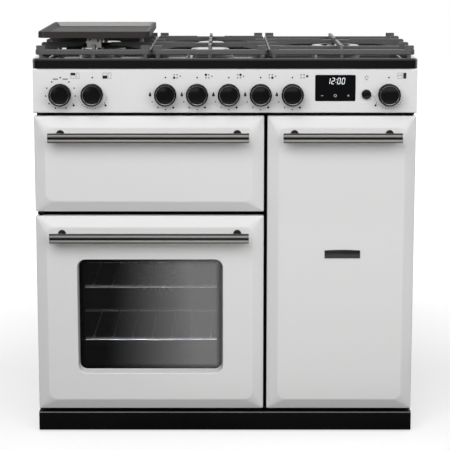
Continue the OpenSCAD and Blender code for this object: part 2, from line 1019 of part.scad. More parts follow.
// Knob: a skirt, a bright ring and a slightly sunk face, hollow behind round a boss
module knob_body() {
    skirt = 6;
    face_sink = 0.8;
    front_turn()
        difference() {
            union() {
                square([knob_r, skirt]);
                translate([0, skirt - 1])
                    square([knob_r - 1.5, 3]);
                square([knob_r - 4, knob_len - 2]);
                square([knob_r - 6, knob_len]);
                translate([knob_r - 6, knob_len - 2])
                    circle(2);
            }
            translate([0, knob_len - face_sink])
                square([knob_r - 8, past]);
            translate([spindle_r + 4, -past])
                square([knob_r - 6.5 - spindle_r - 4, knob_len - 4 + past]);
            translate([spindle_r + 1, -past])
                square([knob_r - 2.5 - spindle_r - 1, 4 + past]);
        }
}

module gas_knob(i) {
    color(gloss_black)
        at_face()
            translate([gas_x[i], knob_back_y, knob_z])
                difference() {
                    knob_body();
                    y_rod(0, -knob_bore, past, 0, spindle_r + running);
                }
}

module oven_knob(x) {
    color(gloss_black)
        at_face() {
            translate([x, knob_back_y, knob_z])
                knob_body();
            y_rod(x, knob_back_y - spindle_in, control_y + 27, knob_z, spindle_r);
        }
}

module gas_spindle(i) {
    color(steel)
        at_face()
            y_rod(gas_x[i], knob_back_y - spindle_in, control_y + 27, knob_z, spindle_r);
}

// Gas: a rail with five taps, and a feed pipe from each tap to its burner

tap_r = 11;
tab_half = 12;
tap_end = 62;
gas_rail_r = 8;
gas_rail_y = 40;
gas_rail_z = knob_z - 26;
supply_x = half_w - 105;
pipe_r = 4;
pipe_z = knob_z + 17;
elbow = 11;

module pipe_elbow(x, y, z) {
    translate([x, y, z])
        cube(elbow, center = true);
}

module feed_pipe(burner) {
    x = gas_x[burner[3]];
    y_rod(x, tap_end - 1, burner[1], knob_z, pipe_r);
    pipe_elbow(x, burner[1], knob_z);
    translate([x, burner[1], knob_z])
        cylinder(h = pipe_z - knob_z, r = pipe_r);
    pipe_elbow(x, burner[1], pipe_z);
    x_rod(min(x, burner[0]), max(x, burner[0]), burner[1], pipe_z, pipe_r);
    pipe_elbow(burner[0], burner[1], pipe_z);
    translate([burner[0], burner[1], pipe_z])
        cylinder(h = bowl_low - pipe_z, r = pipe_r + 2);
}

module gas_rail() {
    color(brass_tone)
        at_face()
            difference() {
                union() {
                    x_rod(gas_x[0] - 20, supply_x, gas_rail_y, gas_rail_z, gas_rail_r);
                    translate([supply_x, gas_rail_y, gas_rail_z])
                        cube(2 * gas_rail_r + 4, center = true);
                    y_rod(supply_x, gas_rail_y, inlet_y, gas_rail_z, gas_rail_r);
                    for (x = gas_x) {
                        y_rod(x, control_y, tap_end, knob_z, tap_r);
                        translate([x, gas_rail_y, gas_rail_z])
                            cylinder(h = knob_z - gas_rail_z, r = 6);
                        block([x - tab_half, fascia_y + sheet, knob_z + tab_half],
                              [x + tab_half, fascia_y + sheet + 2, knob_z + 2 * tab_half]);
                        block([x - tab_half, fascia_y + sheet, knob_z + 7],
                              [x + tab_half, control_y + 20, knob_z + tab_half + 1]);
                    }
                    for (burner = concat(BURNERS, [wok]))
                        feed_pipe(burner);
                }
                for (x = gas_x)
                    y_rod(x, control_y - past, control_y + spindle_bore, knob_z, spindle_r + running);
            }
}

// Rear connections: the threaded gas inlet and the mains terminal box with its cable gland

inlet_x = supply_x;
inlet_z = gas_rail_z;
inlet_body_r = 13;
inlet_r = 9.3;
inlet_len = 15;
inlet_y = back_y - 10;
terminal_x = -half_w + 150;
terminal_z = 180;
terminal_w = 110;
terminal_top = terminal_z + 76;
terminal_back = body_d - 3;
gland_len = 15;
gland_r = 12;
gland_bore_r = 7;

module rear_inlets() {
    color(brass_tone)
        at_face()
            difference() {
                union() {
                    y_rod(inlet_x, inlet_y, body_d - 2, inlet_z, inlet_body_r);
                    translate([inlet_x, back_y + sheet, inlet_z])
                        back_extrude(8)
                            circle(19, $fn = 6);
                }
                y_rod(inlet_x, body_d - 2 - inlet_len, body_d - 2 + past, inlet_z, inlet_r);
            }
    color(iron_black)
        at_face() {
            difference() {
                union() {
                    block([terminal_x - terminal_w / 2, back_y + sheet, terminal_z],
                          [terminal_x + terminal_w / 2, terminal_back, terminal_top]);
                    translate([terminal_x, back_y + gland_len, terminal_z - gland_len + 1])
                        cylinder(h = gland_len, r = gland_r);
                }
                block([terminal_x - terminal_w / 2 + sheet, back_y + sheet - past, terminal_z + sheet],
                      [terminal_x + terminal_w / 2 - sheet, terminal_back - sheet, terminal_top - sheet]);
                translate([terminal_x, back_y + gland_len, terminal_z - gland_len])
                    cylinder(h = gland_len + 5, r = gland_bore_r);
            }
        }
}

// Cavities

module cavity_box(cx, low, w, h, d) {
    translate([0, mouth_y, 0]) {
        difference() {
            back_extrude(d + wall)
                cavity_outline(cx, low, w, h, wall);
            translate([0, -past, 0])
                back_extrude(d + past)
                    cavity_outline(cx, low, w, h, 0);
        }
        back_extrude(wall)
            difference() {
                cavity_outline(cx, low, w, h, 12);
                cavity_outline(cx, low, w, h, 0);
            }
    }
}

main_cz = main_low + main_cavity_h / 2;
tall_cz = main_low + tall_cavity_h / 2;

module oven_liner(cx, low, w, h, lamp_x, lamp_z) {
    difference() {
        cavity_box(cx, low, w, h, cavity_d);
        y_rod(cx, rear_wall_y - past, rear_wall_y + wall + past, low + h / 2, fan_bore_r + 3);
        x_rod(lamp_x - wall - past, lamp_x + wall + past, lamp_y, lamp_z, lamp_hole_r);
    }
}

lamp_in = 230;
lamp_y = mouth_y + lamp_in;
lamp_down = 44;
lamp_hole_r = 18;
lamp_reach = 12;

module main_oven_liner() {
    color(oven_grey)
        at_face()
            oven_liner(left_cx, main_low, main_cavity_w, main_cavity_h, left_cx - main_cavity_w / 2,
                       main_low + main_cavity_h - lamp_down);
}

module tall_oven_liner() {
    color(oven_grey)
        at_face()
            oven_liner(tall_cx, main_low, tall_cavity_w, tall_cavity_h, tall_cx + tall_cavity_w / 2,
                       main_low + tall_cavity_h - lamp_down);
}

runner_w = 16;
runner_h = 5;

module grill_liner() {
    color(oven_grey)
        at_face() {
            cavity_box(left_cx, grill_floor, main_cavity_w, grill_cavity_h, grill_d);
            for (side = [-1, 1])
                translate([left_cx + side * (main_cavity_w / 2 - runner_w / 2 + wall / 2), mouth_y + 10, 0])
                    block([-runner_w / 2 - wall / 2, 0, grill_pan_z - seat - runner_h],
                          [runner_w / 2 + wall / 2, grill_d - 30, grill_pan_z - seat]);
        }
}

grill_pan_w = main_cavity_w - 12;
grill_pan_d = 310;

module pan_section() {
    mirror([1, 0]) {
        square([wall, grill_pan_h]);
        translate([0, grill_pan_h - wall])
            square([6, wall]);
    }
}

module grill_pan() {
    color(oven_grey)
        at_face()
            translate([left_cx, rack_y + grill_pan_d / 2, grill_pan_z]) {
                edge_sweep(grill_pan_w, grill_pan_d, 12)
                    pan_section();
                linear_extrude(wall)
                    rounded_rect(grill_pan_w - 2, grill_pan_d - 2, 11);
            }
    color(steel)
        at_face()
            translate([left_cx, rack_y + grill_pan_d / 2, grill_pan_z + wall + seat])
                pan_grid();
}

// A wire grid that stands in the pan on its two bent-down ends
module pan_grid() {
    grid_w = grill_pan_w - 30;
    grid_d = grill_pan_d - 24;
    grid_z = 16;
    for (side = [-1, 1]) {
        x_rod(-grid_w / 2, grid_w / 2, side * (grid_d / 2 - 4), grid_z, 2.5);
        for (end = [-1, 1])
            translate([end * (grid_w / 2 - 6), side * (grid_d / 2 - 4), 0])
                cylinder(h = grid_z, r = 2.2);
    }
    for (x = [-grid_w / 2 + 6 : (grid_w - 12) / 12 : grid_w / 2 - 5])
        y_rod(x, -grid_d / 2 + 2, grid_d / 2 - 2, grid_z, 1.6);
}

// A rack: two rods, two side rods and wires from front to back
module rack(cx, w, z) {
    half = w / 2 - rack_margin;
    wires = floor((half - 10) / rack_wire_pitch);
    for (y = [rack_y + rack_r, rack_y + rack_d - rack_r])
        x_rod(cx - half - rack_side_r + 1, cx + half + rack_side_r - 1, y, z, rack_r);
    for (side = [-1, 1])
        y_rod(cx + side * half, rack_y + rack_r - 1, rack_y + rack_d - rack_r + 1, z, rack_side_r);
    for (i = [-wires:wires])
        y_rod(cx + i * rack_wire_pitch, rack_y - 1.5, rack_y + rack_d + 1.5, z + 1, wire_r);
}

module main_oven_rack_1() {
    color(steel)
        at_face()
            rack(left_cx, main_cavity_w, main_low + rack_1);
}

module main_oven_rack_2() {
    color(steel)
        at_face()
            rack(left_cx, main_cavity_w, main_low + rack_1 + rack_pitch);
}

module tall_oven_rack() {
    color(steel)
        at_face()
            rack(tall_cx, tall_cavity_w, main_low + rack_1 + rack_pitch);
}

ladder_front = mouth_y + 34;
ladder_rear = cover_y - 16;
post_off = 3.5;

// Rack ladder on the wall at +X: two posts with feet on the wall, and a rung under each level
module ladder(levels) {
    low = rack_1 - level_h - 24;
    high = rack_1 + (levels - 2) * level_h + 12;
    for (y = [ladder_front, ladder_rear]) {
        translate([-post_off, y, low])
            cylinder(h = high - low, r = rung_r);
        for (z = [low + 6, high - 6])
            x_rod(-post_off, 0, y, z, rung_r - 0.5);
    }
    for (i = [0:levels - 1]) {
        level_z = rack_1 + (i - 1) * level_h;
        y_rod(-rung_in, ladder_front - 6, ladder_rear + 6, level_z - rack_r - seat - rung_r, rung_r);
    }
}

module rack_ladders() {
    main_levels = floor((main_cavity_h - rack_1 - 16) / level_h) + 1;
    tall_levels = floor((tall_cavity_h - rack_1 - 16) / level_h) + 1;
    color(steel)
        at_face()
            for (side = [0, 1]) {
                translate([left_cx, 0, main_low])
                    mirror([side, 0, 0])
                        translate([main_cavity_w / 2, 0, 0])
                            ladder(main_levels);
                translate([tall_cx, 0, main_low])
                    mirror([side, 0, 0])
                        translate([tall_cavity_w / 2, 0, 0])
                            ladder(tall_levels);
            }
}

// Fan cover: a shallow pressed box on the rear wall, with a round grille and outlets at its sides
module fan_cover(cx, cz, w, h) {
    translate([cx, cover_y, cz])
        difference() {
            back_extrude(cover_d)
                rounded_rect(w, h, 16);
            translate([0, wall, 0])
                back_extrude(cover_d)
                    rounded_rect(w - 2 * wall, h - 2 * wall, 16 - wall);
            for (angle = [0:20:340])
                rotate([0, angle, 0])
                    block([20, -past, -2.5], [fan_r - 8, wall + past, 2.5]);
            for (side = [-1, 1], z = [-h / 2 + 40 : 24 : h / 2 - 36])
                block([side * w / 2 - wall - past, 16, z - 7],
                      [side * w / 2 + wall + past, cover_d - 10, z + 7]);
        }
}

cover_h = 300;

module fan_covers() {
    color(oven_grey)
        at_face() {
            fan_cover(left_cx, main_cz, main_cavity_w - 60, cover_h);
            fan_cover(tall_cx, tall_cz, tall_cavity_w - 30, cover_h);
        }
}

// Fan: a disc with eight blades on its shaft
module fan(cx, cz) {
    blades = 8;
    translate([cx, fan_y, cz]) {
        y_rod(0, -2, 0, 0, fan_r - 4);
        y_rod(0, -fan_depth, 0, 0, fan_hub_r);
        y_rod(0, -1, rear_wall_y + wall + fan_shaft - fan_y, 0, fan_bore_r);
        for (i = [0:blades - 1])
            rotate([0, (i + 0.3) * 360 / blades, 0])
                block([fan_hub_r - 3, 1 - fan_depth, -1], [fan_r, -1, 1]);
    }
}

module main_oven_fan() {
    color(steel)
        at_face()
            fan(left_cx, main_cz);
}

module tall_oven_fan() {
    color(steel)
        at_face()
            fan(tall_cx, tall_cz);
}

motor_r = 34;
motor_d = 42;

module fan_motors() {
    color(zinc)
        at_face()
            for (place = [[left_cx, main_cz], [tall_cx, tall_cz]])
                translate([place[0], rear_wall_y + wall, place[1]])
                    difference() {
                        union() {
                            y_rod(0, 0, motor_d, 0, motor_r);
                            y_rod(0, 0, 3, 0, motor_r + 12);
                            y_rod(0, motor_d - 1, motor_d + 8, 0, 12);
                        }
                        y_rod(0, -past, fan_shaft + 1, 0, fan_bore_r + running);
                    }
}

element_r = 4;
ring_r = fan_r + 22;

// Grill element: straight runs joined by round bends, with both ends in the rear wall
module grill_element() {
    runs = 6;
    pitch = 62;
    front = mouth_y + 50;
    rear = mouth_y + grill_d - 60;
    z = grill_floor + grill_cavity_h - 22;
    translate([left_cx - pitch * (runs - 1) / 2, 0, z]) {
        for (i = [0:runs - 1])
            y_rod(i * pitch, front, i == 0 || i == runs - 1 ? mouth_y + grill_d : rear, 0, element_r);
        for (i = [0:2:runs - 2])
            translate([(i + 0.5) * pitch, front, 0])
                rotate([0, 0, 180])
                    rotate_extrude(angle = 180)
                        translate([pitch / 2, 0])
                            circle(element_r);
        for (i = [1:2:runs - 3])
            translate([(i + 0.5) * pitch, rear, 0])
                rotate_extrude(angle = 180)
                    translate([pitch / 2, 0])
                        circle(element_r);
    }
}

module ring_element(cx, cz) {
    translate([cx, rear_wall_y - 22, cz]) {
        front_turn()
            translate([ring_r, 0])
                circle(element_r);
        for (side = [-1, 1])
            y_rod(side * 12, 0, 22, sqrt(ring_r * ring_r - 144), element_r - 1);
    }
}

module heating_elements() {
    color(steel)
        at_face() {
            grill_element();
            ring_element(left_cx, main_cz);
            ring_element(tall_cx, tall_cz);
        }
}

// Oven lamp on the wall at +X: a domed lens inside and a holder outside
module oven_lamp() {
    rotate([0, 90, 0])
        rotate_extrude() {
            translate([0, -8])
                square([lamp_hole_r + 4, 8]);
            translate([0, -lamp_reach])
                square([lamp_hole_r, lamp_reach]);
            square([lamp_hole_r - seat, wall]);
            translate([0, wall])
                square([lamp_hole_r + 6, 3]);
            translate([0, wall])
                square([lamp_hole_r - 4, lamp_hole_r + 8]);
        }
}

module oven_lamps() {
    color(glass_tone)
        at_face() {
            translate([left_cx - main_cavity_w / 2, lamp_y, main_low + main_cavity_h - lamp_down])
                mirror([1, 0, 0])
                    oven_lamp();
            translate([tall_cx + tall_cavity_w / 2, lamp_y, main_low + tall_cavity_h - lamp_down])
                oven_lamp();
        }
}

seal_w = 8;
seal_out = 6;

module seal_outline(cx, w, h) {
    difference() {
        cavity_outline(cx, main_low, w, h, seal_out + seal_w);
        cavity_outline(cx, main_low, w, h, seal_out);
    }
}

module oven_seals() {
    color(iron_black)
        at_face()
            translate([0, door_t + seat, 0])
                back_extrude(door_stand - seat) {
                    seal_outline(left_cx, main_cavity_w, main_cavity_h);
                    seal_outline(tall_cx, tall_cavity_w, tall_cavity_h);
                }
}

// Hinges

plate_t = 3;
plate_r = 8;
pin_reach = 16;
main_pin_x = left_edge + pin_in;
tall_pin_x = half_w - side_reveal - pin_in;
arm_t = 4;
arm_h = 12;
arm_pin_r = 3;
arm_pin_reach = 8;
arm_x = [left_edge + arm_in, left_edge + left_door_w - arm_in];
grill_axis_z = grill_low + grill_pin_up;

// A plate in a door gap with its pin: up is 1 under a door and -1 over it
module pin_plate(x, gap_low, gap_high, up) {
    z = (gap_low + gap_high) / 2 - plate_t / 2;
    block([x - plate_r, pin_back, z], [x + plate_r, frame_y, z + plate_t]);
    translate([x, pin_back, z])
        cylinder(h = plate_t, r = plate_r);
    pin_low = up > 0 ? z : gap_low - pin_reach;
    pin_high = up > 0 ? gap_high + pin_reach : z + plate_t;
    translate([x, pin_back, pin_low])
        cylinder(h = pin_high - pin_low, r = pin_r);
}

module grill_arm(x) {
    x_rod(x - arm_t / 2, x + arm_t / 2, grill_pin_back, grill_axis_z, arm_h / 2 + 2);
    pin_half = arm_t / 2 + arm_pin_reach;
    block([x - arm_t / 2, grill_pin_back, grill_axis_z - arm_h / 2],
          [x + arm_t / 2, frame_y, grill_axis_z + arm_h / 2]);
    x_rod(x - pin_half, x + pin_half, grill_pin_back, grill_axis_z, arm_pin_r);
}

module door_hinges() {
    color(zinc)
        at_face() {
            pin_plate(main_pin_x, main_top, grill_low, -1);
            pin_plate(main_pin_x, plinth_h, door_low, 1);
            pin_plate(tall_pin_x, door_top, fascia_z, -1);
            pin_plate(tall_pin_x, plinth_h, door_low, 1);
            for (x = arm_x)
                grill_arm(x);
        }
}

// Doors

// The front of a door: a raised flat face with rounded corners and a sloping border
module door_front(w, h, inset, back) {
    hull() {
        translate([0, back, 0])
            back_extrude(0.5)
                rounded_rect(w - 2 * bevel_w - inset, h - 2 * bevel_w - inset, flat_r);
        translate([0, bevel_d + back, 0])
            back_extrude(0.5)
                rounded_rect(w - 2 * inset, h - 2 * inset, 3);
    }
}

module door_shell(w, h) {
    difference() {
        union() {
            door_front(w, h, 0, 0);
            translate([0, bevel_d, 0])
                back_extrude(panel_d - bevel_d)
                    rounded_rect(w, h, 3);
        }
        door_front(w, h, sheet, sheet);
        translate([0, bevel_d + sheet, 0])
            back_extrude(panel_d)
                rounded_rect(w - 2 * sheet, h - 2 * sheet, 1.5);
    }
}

// Inner pan of a door: a flange behind the shell and a plug that fills the mouth's border
module door_pan(w, h) {
    translate([0, panel_d, 0])
        back_extrude(sheet)
            difference() {
                rounded_rect(w - 1, h - 1, 3);
                rounded_rect(w - 2 * pan_inset - 2 * sheet, h - 2 * pan_inset - 2 * sheet, 8);
            }
    translate([0, panel_d, 0])
        difference() {
            back_extrude(door_t - panel_d)
                rounded_rect(w - 2 * pan_inset, h - 2 * pan_inset, 8 + sheet);
            translate([0, -past, 0])
                back_extrude(door_t - panel_d - sheet + past)
                    rounded_rect(w - 2 * pan_inset - 2 * sheet, h - 2 * pan_inset - 2 * sheet, 8);
        }
}

// Hinge bosses in the top and bottom of a side-hinged door, at x from its centre
module pin_bosses(x, h) {
    for (side = [-1, 1])
        translate([x, pin_back, side > 0 ? h / 2 - pin_reach - 4 : -h / 2])
            cylinder(h = pin_reach + 4, r = plate_r);
}

module pin_bores(x, h) {
    for (side = [-1, 1])
        translate([x, pin_back, side > 0 ? h / 2 - pin_reach - 2 : -h / 2 - past])
            cylinder(h = pin_reach + 2 + past, r = pin_r + running);
}

lobe_r = (bar_h - groove_w) / 4 + 0.3;
lobe_up = bar_h / 2 - lobe_r;

// A bar with two rounded lobes and a groove between them
module bar_section() {
    for (side = [-1, 1])
        translate([0, side * lobe_up]) {
            square([bar_d - 2 * lobe_r, 2 * lobe_r], center = true);
            for (end = [-1, 1])
                translate([end * (bar_d / 2 - lobe_r), 0])
                    circle(lobe_r);
        }
    square([bar_d - 4 - groove_w, bar_h / 2], center = true);
}

module door_handle(len, cx, door_top_z) {
    z = door_top_z - handle_down;
    bar_back = -handle_reach + bar_d;
    color(gunmetal)
        at_face() {
            translate([cx, -handle_reach + bar_d / 2, z])
                side_extrude(len)
                    bar_section();
            for (side = [-1, 1])
                translate([cx + side * (len / 2 - post_in), 0, z + lobe_up])
                    difference() {
                        union() {
                            y_rod(0, bar_back - lobe_r / 2, 0, 0, post_r);
                            y_rod(0, -3, 0, 0, rosette_r);
                        }
                        x_rod(-post_r - past, post_r + past, bar_back - lobe_r, 0, lobe_r + seat);
                    }
        }
}

module grill_door_handle() {
    door_handle(long_handle, left_cx, door_top);
}

module main_door_handle() {
    door_handle(long_handle, left_cx, main_top);
}

module tall_door_handle() {
    door_handle(short_handle, tall_cx, door_top);
}

grill_door_cz = grill_low + grill_door_h / 2;
main_door_cz = door_low + main_door_h / 2;
tall_door_cz = door_low + tall_door_h / 2;
notch_w = arm_t + 5;
cheek_w = notch_w + 2 * arm_pin_reach - 1;

// The slot that lets a hinge arm swing from the back of the door to its lower edge
module arm_slots() {
    for (x = arm_x)
        block([x - notch_w / 2, grill_pin_back - arm_h / 2 - 3, grill_low - past],
              [x + notch_w / 2, door_t + past, grill_axis_z + arm_h / 2 + 3]);
}

module grill_door_panel() {
    reach = cheek_w / 2 + past;
    color(enamel_white)
        at_face()
            difference() {
                union() {
                    translate([left_cx, 0, grill_door_cz])
                        door_shell(left_door_w, grill_door_h);
                    for (x = arm_x)
                        block([x - cheek_w / 2, sheet + 1, grill_axis_z - 7],
                              [x + cheek_w / 2, panel_d - 1, grill_axis_z + 9]);
                }
                arm_slots();
                for (x = arm_x)
                    x_rod(x - reach, x + reach, grill_pin_back, grill_axis_z, arm_pin_r + running);
            }
}

module grill_door_liner() {
    color(oven_grey)
        at_face()
            difference() {
                translate([left_cx, 0, grill_door_cz])
                    door_pan(left_door_w, grill_door_h);
                arm_slots();
            }
}

window_cz = door_low + window_up + window_h / 2;

// The turned-in edge of the window: it narrows towards the glass
module window_throat(inset) {
    hull() {
        translate([0, -past, 0])
            back_extrude(0.5)
                rounded_rect(window_w - 2 * inset, window_h - 2 * inset, window_r - inset);
        translate([0, glass_back - 0.5, 0])
            back_extrude(0.5)
                rounded_rect(window_w - 10 - 2 * inset, window_h - 10 - 2 * inset, window_r - inset - 2);
    }
}

module main_door_panel() {
    pin_x = main_pin_x - left_cx;
    color(enamel_white)
        at_face()
            difference() {
                union() {
                    translate([left_cx, 0, main_door_cz]) {
                        door_shell(left_door_w, main_door_h);
                        pin_bosses(pin_x, main_door_h);
                    }
                    translate([left_cx, 0, window_cz])
                        intersection() {
                            window_throat(-sheet);
                            back_extrude(glass_back)
                                square([window_w + 20, window_h + 20], center = true);
                        }
                }
                translate([left_cx, 0, window_cz])
                    window_throat(0);
                translate([left_cx, 0, main_door_cz])
                    pin_bores(pin_x, main_door_h);
            }
}

inner_window = [window_w - 30, window_h - 30];

module main_door_liner() {
    color(oven_grey)
        at_face()
            difference() {
                translate([left_cx, 0, main_door_cz])
                    door_pan(left_door_w, main_door_h);
                translate([left_cx, door_t - sheet - past, window_cz])
                    back_extrude(sheet + 2 * past)
                        rounded_rect(inner_window[0], inner_window[1], 12);
            }
}

module main_door_glass() {
    color(glass_tone)
        at_face()
            translate([left_cx, 0, window_cz]) {
                translate([0, glass_back, 0])
                    back_extrude(glass_t)
                        rounded_rect(window_w + 12, window_h + 12, 14);
                translate([0, door_t - sheet - glass_t, 0])
                    back_extrude(glass_t)
                        rounded_rect(inner_window[0] + 24, inner_window[1] + 24, 14);
            }
}

module tall_door_panel() {
    pin_x = tall_pin_x - tall_cx;
    color(enamel_white)
        at_face()
            translate([tall_cx, 0, tall_door_cz])
                difference() {
                    union() {
                        door_shell(tall_door_w, tall_door_h);
                        pin_bosses(pin_x, tall_door_h);
                    }
                    pin_bores(pin_x, tall_door_h);
                }
}

module tall_door_liner() {
    color(oven_grey)
        at_face()
            translate([tall_cx, 0, tall_door_cz])
                door_pan(tall_door_w, tall_door_h);
}

base_frame();
levelling_feet();
plinth();
side_panels();
back_panel();
front_frame();
hotplate();
control_fascia();
clock_display();
light_button();
oven_controls();
gas_rail();
rear_inlets();
gas_spindle(0);  // gas_spindle_1
gas_spindle(1);  // gas_spindle_2
gas_spindle(2);  // gas_spindle_3
gas_spindle(3);  // gas_spindle_4
gas_spindle(4);  // gas_spindle_5
gas_knob(0);  // gas_knob_1
gas_knob(1);  // gas_knob_2
gas_knob(2);  // gas_knob_3
gas_knob(3);  // gas_knob_4
gas_knob(4);  // gas_knob_5
oven_knob(grill_knob_x);  // grill_knob
oven_knob(main_knob_x);  // main_oven_knob
oven_knob(tall_knob_x);  // tall_oven_knob
burner_bowls();
burner_heads();
burner_caps();
igniters();
pan_support_left();
pan_support_middle();
pan_support_right();
griddle();
grill_liner();
grill_pan();
main_oven_liner();
main_oven_rack_1();
main_oven_rack_2();
tall_oven_liner();
tall_oven_rack();
rack_ladders();
fan_covers();
main_oven_fan();
tall_oven_fan();
fan_motors();
heating_elements();
oven_lamps();
oven_seals();
door_hinges();
grill_door_panel();
grill_door_liner();
grill_door_handle();
main_door_panel();
main_door_liner();
main_door_glass();
main_door_handle();
tall_door_panel();
tall_door_liner();
tall_door_handle();
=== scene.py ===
# %% [markdown]
# Range cooker: the finish of a part that already stands
#
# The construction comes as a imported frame: every sheet, knob and rack is there at its real size. This lesson
# dresses it. Each cell takes one piece or one finish, says what it is on a real cooker, how it could be made,
# and why it is made this way. All lengths are in metres, +Z is up and the doors face -Y.

# %% Load the frame
import json
import math

import bmesh
import bpy
from mathutils import Matrix, Vector

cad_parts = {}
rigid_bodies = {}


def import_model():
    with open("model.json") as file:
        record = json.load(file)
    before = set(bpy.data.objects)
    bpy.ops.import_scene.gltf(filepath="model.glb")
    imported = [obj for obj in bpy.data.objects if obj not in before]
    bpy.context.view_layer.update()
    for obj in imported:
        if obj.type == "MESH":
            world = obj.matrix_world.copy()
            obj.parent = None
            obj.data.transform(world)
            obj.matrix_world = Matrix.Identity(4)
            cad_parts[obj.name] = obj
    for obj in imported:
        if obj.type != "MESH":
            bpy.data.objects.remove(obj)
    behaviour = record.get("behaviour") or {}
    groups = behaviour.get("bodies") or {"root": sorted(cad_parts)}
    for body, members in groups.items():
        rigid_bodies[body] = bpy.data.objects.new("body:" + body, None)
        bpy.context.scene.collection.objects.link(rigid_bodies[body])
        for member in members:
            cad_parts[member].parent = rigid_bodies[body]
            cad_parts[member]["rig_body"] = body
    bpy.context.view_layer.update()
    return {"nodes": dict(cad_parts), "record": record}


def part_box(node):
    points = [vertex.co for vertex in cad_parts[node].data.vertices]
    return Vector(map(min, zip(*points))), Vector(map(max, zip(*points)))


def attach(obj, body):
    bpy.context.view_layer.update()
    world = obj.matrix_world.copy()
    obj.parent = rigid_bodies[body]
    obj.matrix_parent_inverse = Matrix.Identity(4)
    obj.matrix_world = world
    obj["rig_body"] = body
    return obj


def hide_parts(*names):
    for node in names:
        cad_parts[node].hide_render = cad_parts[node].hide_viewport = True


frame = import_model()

nodes = frame["nodes"]
scene = bpy.context.scene
MM = 0.001


# %% Places that many pieces share
# The face of the doors, the face of the fascia and the middle of a node's box place all that is added.
def middle(node):
    low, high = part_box(node)
    return (low + high) / 2


FACE_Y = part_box("grill_door_panel")[0].y
FASCIA_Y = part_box("control_fascia")[0].y
KNOB_Z = middle("gas_knob_1").z
print("door face", round(FACE_Y, 4), "fascia face", round(FASCIA_Y, 4), "knobs at", round(KNOB_Z, 4))

# %% [markdown]
# The camera
#
# A catalogue picture of a cooker is taken from a few metres with a long lens, a little above the hob, so that
# the front stays nearly square. The camera could be aimed with a constraint; a plain location and pitch is
# easier to read and can't change later. A small shift lifts the cooker in the picture.

# %% Camera
CAMERA_AT = Vector((0.0, -4.0, 1.2107))
CAMERA_PITCH = math.radians(9.86)
CAMERA_LENS = 127.8
CAMERA_RISE = -0.05

camera_data = bpy.data.cameras.new("camera")
camera_data.lens = CAMERA_LENS
camera_data.sensor_width = 36.0
camera_data.shift_y = CAMERA_RISE
camera = bpy.data.objects.new("camera", camera_data)
camera.location = CAMERA_AT
camera.rotation_euler = (math.pi / 2 - CAMERA_PITCH, 0.0, 0.0)
scene.collection.objects.link(camera)
scene.camera = camera
print("camera", [round(v, 3) for v in camera.location], "lens", camera_data.lens)

# %% [markdown]
# How a material is built
#
# A material here is a short chain: one shader, a few textures that steer it, and a bump for the fine relief.
# It could be drawn in the node editor. In a script, a few helpers that take either a plain value or another
# node's output keep each finish down to the lines that say what it looks like.


# %% Node helpers
def feed(tree, value, socket):
    """Links another node's output to a socket, or sets a plain value or colour on it."""
    if isinstance(value, bpy.types.NodeSocket):
        tree.links.new(value, socket)
    elif socket.type == "RGBA":
        socket.default_value = (*value, 1.0)
    else:
        socket.default_value = value


def feed_named(tree, node, sockets):
    """Feeds sockets by name, with _ for a space."""
    for name, value in sockets.items():
        feed(tree, value, node.inputs[name.replace("_", " ")])
    return node


def add_node(tree, kind, **sockets):
    return feed_named(tree, tree.nodes.new(kind), sockets)


def calculate(tree, operation, *values):
    node = tree.nodes.new("ShaderNodeMath")
    node.operation = operation
    for value, socket in zip(values, node.inputs):
        feed(tree, value, socket)
    return node.outputs["Value"]


finishes = {}


def finish(name, recipe, *values, **choices):
    """A material from a recipe, which gives the sockets of the main shader or a surface of its own."""
    material = bpy.data.materials.new(name)
    material.use_nodes = True
    tree = material.node_tree
    shader = tree.nodes["Principled BSDF"]
    made = recipe(tree, *values, **choices)
    if isinstance(made, dict):
        feed_named(tree, shader, made)
    else:
        tree.nodes.remove(shader)
        feed(tree, made, tree.nodes["Material Output"].inputs["Surface"])
    finishes[name] = material


print("node helpers ready")


# %% Places and textures on a surface
def object_space(tree, stretch=(1.0, 1.0, 1.0), turn=(0.0, 0.0, 0.0)):
    """Object coordinates in metres, stretched and turned."""
    place = tree.nodes.new("ShaderNodeTexCoord").outputs["Object"]
    return add_node(tree, "ShaderNodeMapping", Vector=place, Scale=stretch, Rotation=turn).outputs["Vector"]


def axes(tree, kind="Object"):
    """X, Y and Z of the place, or of the way that the surface faces, by the name of the coordinates."""
    source = tree.nodes.new("ShaderNodeTexCoord").outputs[kind]
    return add_node(tree, "ShaderNodeSeparateXYZ", Vector=source).outputs


def noise(tree, scale, detail=3.0, roughness=0.5, stretch=(1.0, 1.0, 1.0)):
    texture = add_node(tree, "ShaderNodeTexNoise", Vector=object_space(tree, stretch), Scale=scale,
                       Detail=detail, Roughness=roughness)
    return texture.outputs["Fac"]


def cells(tree, scale):
    return add_node(tree, "ShaderNodeTexVoronoi", Vector=object_space(tree), Scale=scale).outputs


print("texture helpers ready")


# %% Tones and relief
def remap(tree, value, low, high, to_low, to_high):
    """Runs from to_low to to_high while the value runs from low to high, and stays level outside."""
    span = add_node(tree, "ShaderNodeMapRange", Value=value, From_Min=low, From_Max=high, To_Min=to_low,
                    To_Max=to_high)
    return span.outputs["Result"]


def blend(tree, share, first, second):
    """Mixes two colours, each a plain one or a node's output."""
    mix = tree.nodes.new("ShaderNodeMix")
    mix.data_type = "RGBA"
    for value, socket in ((share, mix.inputs[0]), (first, mix.inputs[6]), (second, mix.inputs[7])):
        feed(tree, value, socket)
    return mix.outputs[2]


def shade(colour, times, plus=0.0):
    return tuple(channel * times + plus for channel in colour)


def relief(tree, height, depth, strength=1.0):
    bump = add_node(tree, "ShaderNodeBump", Height=height, Distance=depth, Strength=strength)
    return bump.outputs["Normal"]


print("tone helpers ready")

